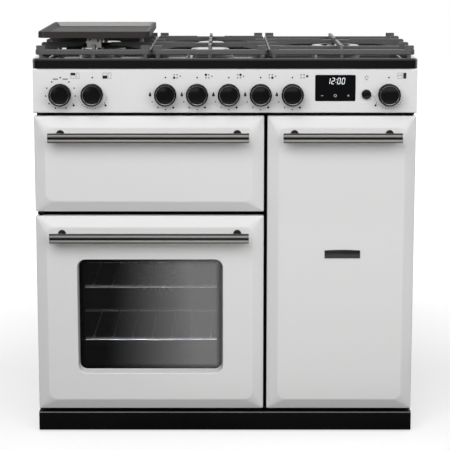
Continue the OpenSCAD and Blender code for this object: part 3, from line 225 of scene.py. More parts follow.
# %% [markdown]
# White enamel
#
# The doors and the fascia are pressed steel with a fired or sprayed white coat. It is even, a little soft in
# its gloss, and has a very slight orange peel that only shows in reflections. A flat white would look like
# paper, so the colour drifts by a few percent and the gloss varies with it.

# %% White enamel material
WHITE = (0.725, 0.725, 0.72)
WHITE_SHADE = (0.7, 0.7, 0.7)
DRIFT_SCALE = 1.3
PEEL_SCALE = 420.0


def white_coat(tree):
    drift = noise(tree, DRIFT_SCALE, 1.0)
    return dict(
        Base_Color=blend(tree, drift, WHITE_SHADE, WHITE),
        Roughness=remap(tree, drift, 0.0, 1.0, 0.26, 0.34),
        Coat_Weight=0.5,
        Coat_Roughness=0.08,
        Normal=relief(tree, noise(tree, PEEL_SCALE, 1.0), 0.01 * MM, 0.25))


finish("white_enamel", white_coat)
print("white enamel", WHITE)

# %% [markdown]
# Black enamel and coats
#
# The hotplate is vitreous enamel, deep black and glossy, and so are the burner caps. The side panels have a
# powder coat, which is satin with a fine grain. The knobs are moulded plastic, and the plinth, the front
# frame and the hinges have a matt coat. One function makes them all, with colour, gloss and grain as values.


# %% Black finishes
def black_coat(tree, colour, roughness, grain, depth, coat=0.0, specular=0.5):
    """The grain is how many bumps there are in a metre, and the depth is theirs."""
    wear = noise(tree, 9.0, 4.0)
    return dict(
        Base_Color=blend(tree, wear, colour, shade(colour, 1.5, 0.002)),
        Roughness=remap(tree, wear, 0.3, 0.7, roughness * 0.8, roughness * 1.2),
        Coat_Weight=coat,
        Coat_Roughness=0.05,
        Specular_IOR_Level=specular,
        Normal=relief(tree, noise(tree, grain, 2.0), depth, 0.5))


def black(name, *values, **choices):
    finish(name, black_coat, *values, **choices)


black("black_enamel", (0.006, 0.006, 0.0065), 0.05, 60.0, 0.001 * MM, coat=0.2, specular=0.6)
black("cap_enamel", (0.02, 0.02, 0.021), 0.12, 500.0, 0.01 * MM, coat=0.5)
black("side_coat", (0.03, 0.03, 0.031), 0.42, 900.0, 0.06 * MM)
black("knob_black", (0.004, 0.004, 0.0043), 0.14, 200.0, 0.01 * MM, specular=0.32)
black("plinth_coat", (0.0015, 0.0015, 0.0016), 0.55, 900.0, 0.06 * MM, specular=0.12)
print("black finishes made")

# %% [markdown]
# Cast iron and the griddle's coating
#
# Pan supports are cast in sand and then enamelled matt black, so the skin has a fine, soft pitting. A voronoi
# or noise texture could do it; a noise with many octaves gives the uneven skin of a casting. The griddle's
# coating is smoother and a shade browner, and its inner walls are painted paler: a painted reflection.

# %% Cast iron
CAST_SCALE = 220.0
CAST_DARK = (0.055, 0.055, 0.056)
CAST_LIGHT = (0.11, 0.11, 0.111)


def cast_skin(tree):
    skin = noise(tree, CAST_SCALE, 5.0, 0.6)
    return dict(
        Base_Color=blend(tree, skin, CAST_DARK, CAST_LIGHT),
        Roughness=remap(tree, skin, 0.3, 0.7, 0.36, 0.5),
        Normal=relief(tree, skin, 0.1 * MM, 0.6))


finish("cast_iron", cast_skin)
print("cast iron", CAST_DARK)

# %% Griddle coating
GRIDDLE_DARK = (0.03, 0.0275, 0.0265)
GRIDDLE_LIGHT = (0.042, 0.0385, 0.0375)
# The pale tone of the inner walls is a painted reflection
PAINTED_WALL_SHEEN = (0.36, 0.352, 0.345)
WALL_IN = 12 * MM
WALL_FADE = 4 * MM
# A normal counts fully up to the first value along its axis, and not at all from the second
TURNED = (-0.35, -0.2)
griddle_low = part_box("griddle")[0]


def griddle_skin(tree):
    """Dark floor and outside; pale where an inner wall faces the front or the left, a painted reflection."""
    skin = noise(tree, CAST_SCALE, 5.0, 0.6)
    normal = axes(tree, "Normal")
    place = axes(tree)
    walls = []
    for axis, start in (("Y", griddle_low.y + WALL_IN), ("X", griddle_low.x + WALL_IN)):
        turned_in = remap(tree, normal[axis], *TURNED, 1.0, 0.0)
        inside = remap(tree, place[axis], start, start + WALL_FADE, 0.0, 1.0)
        walls.append(calculate(tree, "MULTIPLY", turned_in, inside))
    dark = blend(tree, skin, GRIDDLE_DARK, GRIDDLE_LIGHT)
    return dict(
        Base_Color=blend(tree, calculate(tree, "MAXIMUM", *walls), dark, PAINTED_WALL_SHEEN),
        Roughness=remap(tree, skin, 0.3, 0.7, 0.42, 0.46),
        Specular_IOR_Level=0.03,
        Normal=relief(tree, skin, 0.003 * MM, 0.4))


finish("griddle_coat", griddle_skin)
print("griddle walls start", round(WALL_IN / MM), "mm in")

# %% [markdown]
# Oven enamel
#
# Inside, cavities have a dark blue-grey enamel with pale specks, which hides stains. The specks are small
# cells of a voronoi texture, kept only where the cell's own random value is high.

# %% Oven enamel material
OVEN_GREY = (0.006, 0.0065, 0.0075)
SPECK = (0.1, 0.104, 0.11)
SPECK_SCALE = 420.0
# Which cells have a speck, by their random value, and where a speck ends, as a share of the cell
CHOSEN = (0.9, 0.92)
SPECK_RIM = (0.25, 0.35)


def speckled_coat(tree):
    grains = cells(tree, SPECK_SCALE)
    chosen = remap(tree, grains["Color"], *CHOSEN, 0.0, 1.0)
    near = remap(tree, grains["Distance"], *SPECK_RIM, 1.0, 0.0)
    return dict(
        Base_Color=blend(tree, calculate(tree, "MULTIPLY", chosen, near), OVEN_GREY, SPECK),
        Roughness=0.3,
        Normal=relief(tree, noise(tree, 250.0), 0.03 * MM, 0.4))


finish("oven_enamel", speckled_coat)
print("oven enamel with cells of", round(1 / SPECK_SCALE / MM, 1), "mm")

# %% [markdown]
# Bare metals
#
# Zinc-coated sheet has a spangle of crystals, chrome wire is bright, the handles are brushed along
# their length, and cast aluminium and brass are dull from their moulds. One function makes the plain metals
# from a colour, a roughness and a grain. The others have a pattern of their own. The zinc, the wire and the
# handles are only partly metallic, because a full metal would mirror little but the dim room.


# %% Plain metals
def dull_metal(tree, colour, roughness, spread, grain):
    """The roughness varies by the spread, and the grain is how many bumps there are in a metre."""
    bumps = noise(tree, grain, 4.0, 0.6)
    return dict(
        Base_Color=blend(tree, bumps, shade(colour, 0.8), colour),
        Roughness=remap(tree, bumps, 0.2, 0.8, roughness - spread, roughness + spread),
        Metallic=1.0,
        Normal=relief(tree, bumps, 0.01 * MM, 0.4))


BRASS = (0.62, 0.46, 0.2)
finish("brass", dull_metal, BRASS, 0.32, 0.08, 90.0)
finish("spindle_steel", dull_metal, (0.58, 0.58, 0.58), 0.3, 0.08, 150.0)
finish("element_metal", dull_metal, (0.2, 0.185, 0.175), 0.45, 0.1, 80.0)
finish("burner_alloy", dull_metal, (0.72, 0.72, 0.71), 0.3, 0.05, 120.0)
finish("ring_metal", dull_metal, (0.86, 0.86, 0.86), 0.3, 0.04, 300.0)
print("plain metals made")

# %% Zinc
ZINC_DARK = (0.5, 0.515, 0.525)
ZINC_LIGHT = (0.6, 0.62, 0.63)
CRYSTAL_SCALE = 65.0


def spangled_zinc(tree):
    """Crystals, each a little lighter or darker than the next."""
    tone = remap(tree, cells(tree, CRYSTAL_SCALE)["Color"], 0.1, 0.9, 0.0, 1.0)
    return dict(
        Base_Color=blend(tree, tone, ZINC_DARK, ZINC_LIGHT),
        Roughness=remap(tree, tone, 0.0, 1.0, 0.34, 0.46),
        Metallic=0.75,
        Normal=relief(tree, noise(tree, 300.0, 2.0), 0.01 * MM, 0.3))


finish("zinc_steel", spangled_zinc)
print("zinc crystals of", round(1 / CRYSTAL_SCALE / MM), "mm")

# %% Chrome wire
CHROME = (0.92, 0.93, 0.94)
BACK_BROWN_DARK = (0.2, 0.19, 0.18)
BACK_BROWN_LIGHT = (0.28, 0.265, 0.25)
RACK_FRONT_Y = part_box("main_oven_rack_1")[0].y
BRIGHT_TO = RACK_FRONT_Y + 8 * MM
BROWN_FROM = RACK_FRONT_Y + 20 * MM


def chrome_bright_front(tree):
    """Bright chrome on the front rod, and dark brown from just behind it to the back."""
    back_share = remap(tree, axes(tree)["Y"], BRIGHT_TO, BROWN_FROM, 0.0, 1.0)
    back_brown = blend(tree, noise(tree, 40.0), BACK_BROWN_DARK, BACK_BROWN_LIGHT)
    return dict(
        Base_Color=blend(tree, back_share, CHROME, back_brown),
        Roughness=remap(tree, noise(tree, 200.0), 0.2, 0.8, 0.26, 0.32),
        Metallic=0.4)


finish("chrome_wire", chrome_bright_front)
print("rack fronts at", round(RACK_FRONT_Y, 4))

# %% Gas inlet and terminal box
PLASTIC_DARK = (0.018, 0.018, 0.019)
PLASTIC_LIGHT = (0.026, 0.026, 0.027)
INLET_SPLIT = 0.6


def inlet_and_box(tree):
    """One node holds the brass gas inlet, high up, and the black terminal box, low down."""
    high_up = calculate(tree, "GREATER_THAN", axes(tree)["Z"], INLET_SPLIT)
    grain = noise(tree, 400.0)
    plastic = blend(tree, grain, PLASTIC_DARK, PLASTIC_LIGHT)
    return dict(
        Base_Color=blend(tree, high_up, plastic, BRASS),
        Metallic=high_up,
        Roughness=remap(tree, high_up, 0.0, 1.0, 0.5, 0.32),
        Normal=relief(tree, grain, 0.04 * MM, 0.4))


finish("inlet_finish", inlet_and_box)
print("brass above", INLET_SPLIT, "m")

# %% Brushed handles
ALONG_X = (0.04, 1.0, 1.0)
# The dark colour on the tops and bottoms of the lobes is painted shade
LOBE_PAINTED_SHADE = (0.01, 0.01, 0.01)
# From facing the front to facing up or down enough to take the painted shade
TILTED = (0.38, 0.62)


def brushed_lobes(tree, colour, roughness, metallic):
    """Brushed along X: even along the lobes, with painted shade where a surface faces up or down."""
    streaks = noise(tree, 1500.0, stretch=ALONG_X)
    painted_shade_share = remap(tree, calculate(tree, "ABSOLUTE", axes(tree, "Normal")["Z"]), *TILTED, 0.0, 1.0)
    brushed = blend(tree, streaks, shade(colour, 0.93), colour)
    return dict(
        Base_Color=blend(tree, painted_shade_share, brushed, LOBE_PAINTED_SHADE),
        Roughness=remap(tree, streaks, 0.0, 1.0, roughness - 0.03, roughness + 0.03),
        Metallic=metallic,
        Normal=relief(tree, streaks, 0.001 * MM, 0.4))


finish("gunmetal", brushed_lobes, (0.35, 0.335, 0.32), 0.42, 0.35)
# The dark finish is also the painted shade in the groove of the handles
finish("dark_gunmetal", brushed_lobes, (0.05, 0.048, 0.046), 0.12, 0.6)
print("handle metals made")

# %% [markdown]
# Window glass
#
# The oven window is dark tinted glass with a mirror-like coat, so the racks behind it only show faintly. It
# could be a shader with transmission; a mix of a tinted see-through shader and a clear gloss lets the lamps
# reach the cavity. Only the side that faces out mirrors, and less near the edges, as painted shade on the rim.

# %% Painted shade along the edges of the window
EDGE_SHADE_FADE = 12 * MM
EDGE_SHADE_GLOSS = 0.3
glass_low, glass_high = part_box("main_door_glass")


def painted_edge_shade(tree):
    """1 in the middle of the glass, falling to a low share near its edges: painted shade along the rim."""
    place = axes(tree)
    fades = []
    for axis, low, high in (("X", glass_low.x, glass_high.x), ("Z", glass_low.z, glass_high.z)):
        for edge, inwards in ((low, EDGE_SHADE_FADE), (high, -EDGE_SHADE_FADE)):
            fades.append(remap(tree, place[axis], edge + inwards, edge + 2 * inwards, EDGE_SHADE_GLOSS, 1.0))
    while len(fades) > 1:
        fades.append(calculate(tree, "MINIMUM", fades.pop(), fades.pop()))
    return fades[0]


print("border of the window", round(EDGE_SHADE_FADE / MM), "mm")

# %% Window glass
GLASS_TINT = (0.8, 0.8, 0.81)
GLASS_GLOSS = 0.15
GLASS_IOR = 1.5


def coated_glass(tree):
    streak = remap(tree, noise(tree, 6.0, 2.0), 0.2, 0.8, 0.97, 1.0)
    tint = blend(tree, streak, (0.0, 0.0, 0.0), GLASS_TINT)
    clear = add_node(tree, "ShaderNodeBsdfTransparent", Color=tint)
    gloss = add_node(tree, "ShaderNodeBsdfGlossy", Roughness=0.02)
    fresnel = add_node(tree, "ShaderNodeFresnel", IOR=GLASS_IOR)
    share = remap(tree, fresnel.outputs["Fac"], 0.0, 1.0, GLASS_GLOSS, 1.0)
    inner_side = tree.nodes.new("ShaderNodeNewGeometry").outputs["Backfacing"]
    outer_share = calculate(tree, "MULTIPLY", share, remap(tree, inner_side, 0.0, 1.0, 1.0, 0.0))
    mirrored = calculate(tree, "MULTIPLY", outer_share, painted_edge_shade(tree))
    mix = add_node(tree, "ShaderNodeMixShader", Fac=mirrored)
    feed(tree, clear.outputs["BSDF"], mix.inputs[1])
    feed(tree, gloss.outputs["BSDF"], mix.inputs[2])
    return mix.outputs["Shader"]


finish("door_glass", coated_glass)
print("window glass, tint", GLASS_TINT[0])

# %% [markdown]
# Lamp lens, ceramic, display and seal
#
# The lamps' lenses are cloudy glass, the spark electrodes sit in glazed ceramic, and the display is black
# glass. The seal is braided glass fibre: two crossed waves give the braid, the higher of the two on top.


# %% Lamp lens, ceramic and display glass
def cloudy_glass(tree):
    return dict(
        Base_Color=(0.9, 0.9, 0.86),
        Transmission_Weight=0.6,
        Roughness=remap(tree, noise(tree, 120.0), 0.3, 0.7, 0.12, 0.25))


def glazed_ceramic(tree):
    glaze = blend(tree, noise(tree, 180.0), (0.62, 0.6, 0.55), (0.78, 0.77, 0.72))
    return dict(Base_Color=glaze, Roughness=0.25)


def black_glass(tree):
    film = noise(tree, 14.0, 2.0)
    return dict(
        Base_Color=blend(tree, film, (0.003, 0.003, 0.004), (0.006, 0.006, 0.007)),
        Roughness=remap(tree, film, 0.3, 0.7, 0.1, 0.16))


finish("lamp_glass", cloudy_glass)
finish("igniter_ceramic", glazed_ceramic)
finish("display_glass", black_glass)
print("lens, ceramic and display made")

# %% Seal
BRAID_TURN = math.radians(45)
BRAID_SCALE = 180.0
BRAID_DARK = (0.02, 0.02, 0.02)
BRAID_LIGHT = (0.09, 0.09, 0.088)


def glass_braid(tree):
    strands = []
    for turn in (BRAID_TURN, -BRAID_TURN):
        place = object_space(tree, turn=(0.0, turn, 0.0))
        wave = add_node(tree, "ShaderNodeTexWave", Vector=place, Scale=BRAID_SCALE, Distortion=0.5)
        strands.append(wave.outputs["Fac"])
    top = calculate(tree, "MAXIMUM", *strands)
    return dict(
        Base_Color=blend(tree, top, BRAID_DARK, BRAID_LIGHT),
        Roughness=0.8,
        Normal=relief(tree, top, 0.6 * MM))


finish("seal_braid", glass_braid)
print("seal braided at", round(math.degrees(BRAID_TURN)), "degrees")

# %% [markdown]
# Print and lit marks
#
# The marks on the fascia are screen-printed in dark grey ink, and the clock's digits glow a cool white. They
# are thin pieces a few hundredths of a millimetre proud, as real ink is, so that they show from any side and
# can be left out by someone who wants a blank fascia.


# %% Ink and glow
def ink(tree, colour):
    return dict(Base_Color=blend(tree, noise(tree, 700.0), colour, shade(colour, 1.4)), Roughness=0.5)


def glow(tree, colour, strength):
    lit = blend(tree, noise(tree, 500.0), shade(colour, 0.8), colour)
    return dict(Base_Color=lit, Emission_Color=lit, Emission_Strength=strength, Roughness=0.5)


finish("dark_ink", ink, (0.006, 0.006, 0.006))
finish("pale_ink", ink, (0.2, 0.2, 0.2))
finish("digit_glow", glow, (0.8, 0.85, 0.9), 0.7)
finish("symbol_glow", glow, (0.35, 0.37, 0.4), 0.4)
print("ink and glow made")

# %% [markdown]
# Which finish goes where
#
# The record lists a material slot for each node, and the finish of the same name goes there. The table holds
# the few nodes with a finish of another name. The loop leaves no node with a flat colour.

# %% Dress the carried-over nodes
OWN_FINISH = {
    "plinth": "plinth_coat",
    "front_frame": "plinth_coat",
    "door_hinges": "plinth_coat",
    "rear_inlets": "inlet_finish",
    "oven_seals": "seal_braid",
}

slot_of = {part["node"]: part["material_slot"] for part in frame["record"]["subparts"]}
for node, dressed in nodes.items():
    material = finishes[OWN_FINISH.get(node, slot_of[node])]
    for slot in dressed.material_slots:
        slot.material = material
    if not dressed.material_slots:
        dressed.data.materials.append(material)
print("dressed", len(nodes), "nodes")

# %% [markdown]
# Helpers for new meshes
#
# A new piece starts as a ring of edges or a few vertices. Operators extrude, bridge, spin and bevel it, and
# one function closes the work: it marks the sharp edges, makes the object and puts it on the body of its
# node. The object itself stays at the origin, with its place in the mesh.

# %% Outlines
CORNER_STEPS = 8


def arc_points(centre, radius, start, end, steps):
    """Points of an arc in a plane, from the start angle to the end angle in degrees."""
    angles = [math.radians(start + (end - start) * step / steps) for step in range(steps + 1)]
    return [(centre[0] + radius * math.cos(a), centre[1] + radius * math.sin(a)) for a in angles]


def rounded_points(width, height, radius):
    """The outline of a rectangle with round corners, anticlockwise, centred."""
    points = []
    for across, up, start in ((1, 1, 0), (-1, 1, 90), (-1, -1, 180), (1, -1, 270)):
        centre = (across * (width / 2 - radius), up * (height / 2 - radius))
        points += arc_points(centre, radius, start, start + 90, CORNER_STEPS)
    return points


def front_ring(bm, points, x, y, z):
    """A closed ring of edges in a plane that faces the front, round (x, z) at depth y."""
    verts = [bm.verts.new((x + across, y, z + up)) for across, up in points]
    edges = [bm.edges.new((verts[i - 1], verts[i])) for i in range(len(verts))]
    return verts, edges


print("a corner has", CORNER_STEPS, "steps")


# %% Operators with their usual values
def bevel(bm, edges, width, segments=3):
    return bmesh.ops.bevel(bm, geom=edges, offset=width, segments=segments, profile=0.5, affect="EDGES",
                           material=-1)


def extrude(bm, face, way):
    """Draws a face out by a vector into a closed block."""
    grown = bmesh.ops.extrude_face_region(bm, geom=[face])
    verts = [part for part in grown["geom"] if isinstance(part, bmesh.types.BMVert)]
    bmesh.ops.translate(bm, vec=way, verts=verts)


print("operators ready")

# %% From a mesh to a piece of the cooker
SHARP_ANGLE = math.radians(32)
MERGE = 1e-6


def mesh_object(bm, name, coats):
    mesh = bpy.data.meshes.new(name)
    bm.to_mesh(mesh)
    bm.free()
    for coat in coats:
        mesh.materials.append(finishes[coat])
    made = bpy.data.objects.new(name, mesh)
    scene.collection.objects.link(made)
    return made


def add_piece(bm, name, node, coats, slot, replaces=False):
    """Makes a piece that rides on the body of a node, and stands in for that node if it replaces it."""
    for face in bm.faces:
        face.smooth = True
    for edge in bm.edges:
        if len(edge.link_faces) == 2 and edge.calc_face_angle(0.0) > SHARP_ANGLE:
            edge.smooth = False
    piece = mesh_object(bm, name, coats)
    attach(piece, nodes[node]["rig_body"])
    if replaces:
        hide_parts(node)
    return piece


def closed_piece(bm, *details, **choices):
    """Merges doubles and turns the faces of a closed shape outwards before it becomes a piece."""
    bmesh.ops.remove_doubles(bm, verts=bm.verts, dist=MERGE)
    bmesh.ops.recalc_face_normals(bm, faces=bm.faces)
    return add_piece(bm, *details, **choices)


print("edges over", round(math.degrees(SHARP_ANGLE)), "degrees stay sharp")

# %% [markdown]
# Pressed doors
#
# Each door has an outer panel pressed from one sheet: a raised flat face with round corners, a sloping
# border, and sides folded back. It could be a bevelled box, but then the inner and outer corners would be
# alike. Rings bridged together, one for each fold, can differ. Bevels on the fold lines give the soft
# highlights, and a Solidify modifier gives the sheet its thickness.

# %% Door panels
SHEET = 2.0 * MM
BORDER_W = 26 * MM
BORDER_D = 12 * MM
FLAT_R = 20 * MM
CORNER_R = 3 * MM
# Widths of the folds at the border's foot, round the flat face and round the window
FOLD_WIDTHS = (2.2 * MM, 2.4 * MM, 1.6 * MM)


def panel_rings(bm, low, high):
    """Rings at a door's back rim, at the foot of its border and round its flat face."""
    x, z = (low.x + high.x) / 2, (low.z + high.z) / 2
    width, height = high.x - low.x, high.z - low.z
    outer = rounded_points(width, height, CORNER_R)
    flat = rounded_points(width - 2 * BORDER_W, height - 2 * BORDER_W, FLAT_R)
    places = ((outer, high.y), (outer, low.y + BORDER_D), (flat, low.y))
    return [front_ring(bm, points, x, y, z) for points, y in places]


def press_sheet(bm, rings, window=False):
    """Bridges the rings in turn, closes the flat face unless it has a window, and rounds the folds."""
    for (_, first), (_, second) in zip(rings, rings[1:]):
        bmesh.ops.bridge_loops(bm, edges=first + second)
    if not window:
        bm.faces.new(rings[-1][0])
    bmesh.ops.recalc_face_normals(bm, faces=bm.faces)
    for (_, edges), width in zip(rings[1:], FOLD_WIDTHS):
        bevel(bm, edges, width)


def panel_piece(bm, name, node):
    """Turns the sheet's faces to the front and gives it its thickness inwards."""
    if sum(face.normal.y * face.calc_area() for face in bm.faces) > 0:
        bmesh.ops.reverse_faces(bm, faces=bm.faces)
    piece = add_piece(bm, name, node, ["white_enamel"], "white_enamel", replaces=True)
    wall = piece.modifiers.new("sheet", "SOLIDIFY")
    wall.thickness = SHEET
    wall.offset = -1.0
    piece.modifiers.new("weighted", "WEIGHTED_NORMAL").keep_sharp = True
    print(name, "faces", len(piece.data.polygons))


bm = bmesh.new()
press_sheet(bm, panel_rings(bm, *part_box("tall_door_panel")))
panel_piece(bm, "tall_door_skin", "tall_door_panel")

# %% Grill door with the slots for its hinge arms
ARM_SLOT = 9 * MM
ARM_IN = 44 * MM
SLOT_START = 15 * MM
grill_low, grill_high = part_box("grill_door_panel")


def cut_slots(bm, low, high):
    """Takes the bottom sheet away where the hinge arms swing through."""
    places = [low.x + ARM_IN, high.x - ARM_IN]
    cuts = [(Vector((1, 0, 0)), x + side * ARM_SLOT / 2) for x in places for side in (-1, 1)]
    cuts.append((Vector((0, 1, 0)), low.y + SLOT_START))
    for way, distance in cuts:
        geometry = bm.verts[:] + bm.edges[:] + bm.faces[:]
        bmesh.ops.bisect_plane(bm, geom=geometry, plane_co=way * distance, plane_no=way, dist=1e-7)
    doomed = []
    for face in bm.faces:
        spot = face.calc_center_median()
        in_slot = any(abs(spot.x - x) < ARM_SLOT / 2 for x in places)
        if in_slot and spot.y > low.y + SLOT_START and spot.z < low.z + SHEET:
            doomed.append(face)
    bmesh.ops.delete(bm, geom=doomed, context="FACES")
    return len(doomed)


bm = bmesh.new()
press_sheet(bm, panel_rings(bm, grill_low, grill_high))
print("slot faces removed", cut_slots(bm, grill_low, grill_high))
panel_piece(bm, "grill_door_skin", "grill_door_panel")

# %% Main oven door with its window
WINDOW_R = 20 * MM
GLASS_BACK = 21 * MM
THROAT_NARROWS = 3 * MM
SILL_RISE = 6 * MM
GLASS_OVERLAP = 6 * MM
window_x = (glass_low.x + glass_high.x) / 2
window_z = (glass_low.z + glass_high.z) / 2
window_w = glass_high.x - glass_low.x - 2 * GLASS_OVERLAP
window_h = glass_high.z - glass_low.z - 2 * GLASS_OVERLAP


def window_rings(bm, face_y):
    """The window's mouth, and its throat at the glass, which is narrower and has a raised sill."""
    mouth = rounded_points(window_w, window_h, WINDOW_R)
    throat_w = window_w - 2 * THROAT_NARROWS
    throat_h = window_h - THROAT_NARROWS - SILL_RISE
    throat_z = window_z + (SILL_RISE - THROAT_NARROWS) / 2
    throat = rounded_points(throat_w, throat_h, WINDOW_R - THROAT_NARROWS)
    return [front_ring(bm, mouth, window_x, face_y, window_z),
            front_ring(bm, throat, window_x, face_y + GLASS_BACK, throat_z)]


bm = bmesh.new()
main_low, main_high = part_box("main_door_panel")
press_sheet(bm, panel_rings(bm, main_low, main_high) + window_rings(bm, main_low.y), window=True)
panel_piece(bm, "main_door_skin", "main_door_panel")
print("window", round(window_w / MM), "x", round(window_h / MM), "mm")

# %% [markdown]
# Handles
#
# A handle is an extruded bar of two round lobes with a groove between them, on two posts with rosettes. The
# section is four arcs, extruded along X, and the bar's ends get a small bevel. Posts and rosettes are turned
# parts, so they start as cones with many sides.

# %% Section of a handle and its turned parts
LOBE_R = 5.3 * MM
LOBE_UP = 5.7 * MM
LOBE_STEPS = 10
BAR_D = 16 * MM


def bar_outline():
    """Depth and height of the section's points: the upper lobe, then the lower one."""
    reach = BAR_D / 2 - LOBE_R
    arcs = ((reach, LOBE_UP, -70), (-reach, LOBE_UP, 90), (-reach, -LOBE_UP, 110), (reach, -LOBE_UP, -90))
    points = []
    for depth, up, start in arcs:
        points += arc_points((depth, up), LOBE_R, start, start + 160, LOBE_STEPS)
    return points


def turned(bm, x, z, radius, y_front, y_back, rounding=0.0, sides=40):
    """A round piece along Y from its front to its back, its front edge rounded."""
    place = Matrix.Translation((x, (y_front + y_back) / 2, z)) @ Matrix.Rotation(math.pi / 2, 4, "X")
    made = bmesh.ops.create_cone(bm, cap_ends=True, segments=sides, radius1=radius, radius2=radius,
                                 depth=y_back - y_front, matrix=place)
    if rounding:
        edges = {edge for vert in made["verts"] for edge in vert.link_edges}
        bevel(bm, [e for e in edges if all(abs(v.co.y - y_front) < MERGE for v in e.verts)], rounding)


print("handle section has", len(bar_outline()), "points")

# %% Handle bars
POST_IN = 27 * MM
POST_R = 5 * MM
POST_SUNK = 2 * MM
ROSETTE_R = 9.5 * MM
ROSETTE_T = 3 * MM
ROSETTE_ROUND = 1.2 * MM
GROOVE_HALF = 1.3 * MM
END_BEVEL = 1.0 * MM


def make_handle(name, node):
    low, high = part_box(node)
    z = (low.z + high.z) / 2
    bar_y, bar_back = low.y + BAR_D / 2, low.y + BAR_D
    bm = bmesh.new()
    end = bm.faces.new([bm.verts.new((low.x, bar_y + depth, z + up)) for depth, up in bar_outline()])
    extrude(bm, end, (high.x - low.x, 0, 0))
    bmesh.ops.recalc_face_normals(bm, faces=bm.faces)
    rims = [e for e in bm.edges if abs(e.verts[0].co.x - e.verts[1].co.x) < MERGE / 10]
    bevel(bm, rims, END_BEVEL, segments=2)
    for x in (low.x + POST_IN, high.x - POST_IN):
        turned(bm, x, z + LOBE_UP, POST_R, bar_back - POST_SUNK, FACE_Y - MM)
        turned(bm, x, z + LOBE_UP, ROSETTE_R, FACE_Y - ROSETTE_T, FACE_Y, ROSETTE_ROUND)
    bm.normal_update()
    for face in bm.faces:
        spot = face.calc_center_median()
        behind_bar = spot.y > bar_back + MM
        in_groove = abs(spot.z - z) < GROOVE_HALF
        # The groove takes the dark finish as painted shade in the crease between the lobes; posts, rosettes
        # and bar ends take it too
        face.material_index = int(behind_bar or in_groove or abs(face.normal.x) > 0.5)
    return closed_piece(bm, name, node, ["gunmetal", "dark_gunmetal"], "gunmetal", replaces=True)


for handle_node in ("grill_door_handle", "main_door_handle", "tall_door_handle"):
    bar = make_handle(handle_node.replace("_handle", "_bar"), handle_node)
    print(bar.name, "faces", len(bar.data.polygons))

# %% [markdown]
# Knobs
#
# A knob is a turned body: a skirt, a waist, and a face with a groove that holds a bright metal ring. The way
# to make a turned shape is to spin its profile once round the axis. The ring is a second piece, because it is
# another material, and it rides on the same body.

# %% Knob bodies and rings
KNOB_SIDES = 72
# Radius and height above the back plane, both in millimetres
KNOB_PROFILE = [
    (0, 0), (24.6, 0), (25.3, 0.8), (25.3, 4.0), (24.4, 5.0), (23.9, 8.0), (24.1, 14.0), (24.9, 19.0),
    (25.7, 21.6), (26.0, 22.8), (25.8, 23.7), (25.2, 24.4), (24.0, 25.0), (22.9, 25.2), (22.3, 25.2),
    (20.6, 23.6), (20.0, 24.6), (19.4, 25.0), (17.0, 24.5), (12.0, 23.75), (6.0, 23.2), (0, 23.0),
]
RING_PROFILE = [
    (20.3, 23.2), (20.3, 23.7), (20.6, 23.9), (22.0, 25.3), (22.5, 25.35), (22.7, 24.8), (20.3, 23.2),
]
STUB_R = 4 * MM
STUB_SIDES = 24
KNOB_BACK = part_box("gas_knob_1")[1].y
gas_knobs = ["gas_knob_%d" % number for number in range(1, 6)]
oven_knobs = ["grill_knob", "main_oven_knob", "tall_oven_knob"]


def spin_profile(profile, axis, y_back):
    """Spins a profile of radius and height round an axis that points to the front."""
    bm = bmesh.new()
    verts = [bm.verts.new((axis.x + radius * MM, y_back - height * MM, axis.z)) for radius, height in profile]
    edges = [bm.edges.new(pair) for pair in zip(verts, verts[1:])]
    bmesh.ops.spin(bm, geom=verts + edges, cent=(axis.x, 0, axis.z), axis=(0, 1, 0), angle=2 * math.pi,
                   steps=KNOB_SIDES, use_merge=True)
    return bm


for knob in gas_knobs + oven_knobs:
    axis = middle(knob)
    bm = spin_profile(KNOB_PROFILE, axis, KNOB_BACK)
    if knob in oven_knobs:
        turned(bm, axis.x, axis.z, STUB_R, KNOB_BACK - MM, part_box(knob)[1].y, sides=STUB_SIDES)
    closed_piece(bm, knob + "_body", knob, ["knob_black"], "knob_black", replaces=True)
    bm = spin_profile(RING_PROFILE, axis, KNOB_BACK)
    closed_piece(bm, knob + "_ring", knob, ["ring_metal"], "spindle_steel")
print("knobs", len(gas_knobs + oven_knobs), "back plane", round(KNOB_BACK, 4))

# %% Dome of the lamp button
DOME_PROFILE = [(11.0, 0), (11.0, 1.2), (10.6, 2.0), (9.4, 2.9), (7.0, 3.7), (3.5, 4.2), (0, 4.4)]
button = middle("light_button")
bm = spin_profile(DOME_PROFILE, button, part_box("light_button")[0].y + MM)
dome = closed_piece(bm, "light_button_dome", "light_button", ["knob_black"], "knob_black")
print("dome faces", len(dome.data.polygons))

# %% [markdown]
# Wire ends of the racks
#
# Each wire of a rack is welded on top of the front rod, and its round end stands a little proud. The wires
# themselves are in the CAD, level with the rod. The ends could be cut from rods; small spheres sunk into the
# rod show the same dot of light.

# %% Wire ends
WIRE_STEP = 48 * MM
WIRE_MARGIN = 10 * MM
TIP_R = 2.8 * MM
TIP_SUNK = 0.8 * MM


def make_tips(node):
    low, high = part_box(node)
    count = int(((high.x - low.x) / 2 - WIRE_MARGIN) / WIRE_STEP)
    bm = bmesh.new()
    for index in range(-count, count + 1):
        place = (middle(node).x + index * WIRE_STEP, low.y + TIP_R * 1.5, high.z - TIP_SUNK)
        bmesh.ops.create_icosphere(bm, subdivisions=2, radius=TIP_R, matrix=Matrix.Translation(place))
    closed_piece(bm, node + "_tips", node, ["chrome_wire"], "chrome_wire")
    return 2 * count + 1


for rack in ("main_oven_rack_1", "main_oven_rack_2", "tall_oven_rack"):
    print(rack, "wire ends", make_tips(rack))

# %% [markdown]
# Plinth
#
# The plinth is a folded strip of black sheet. Its top front fold is rounded, so the skin is a box with one
# bevelled edge, and the bevel has a greyer finish: a painted highlight for the thin line of light on the fold.

# %% Plinth skin
PLINTH_EDGE = 2.2 * MM
# The grey of the edge of the plinth is a painted highlight
black("worn_edge", (0.09, 0.09, 0.09), 0.4, 900.0, 0.03 * MM)


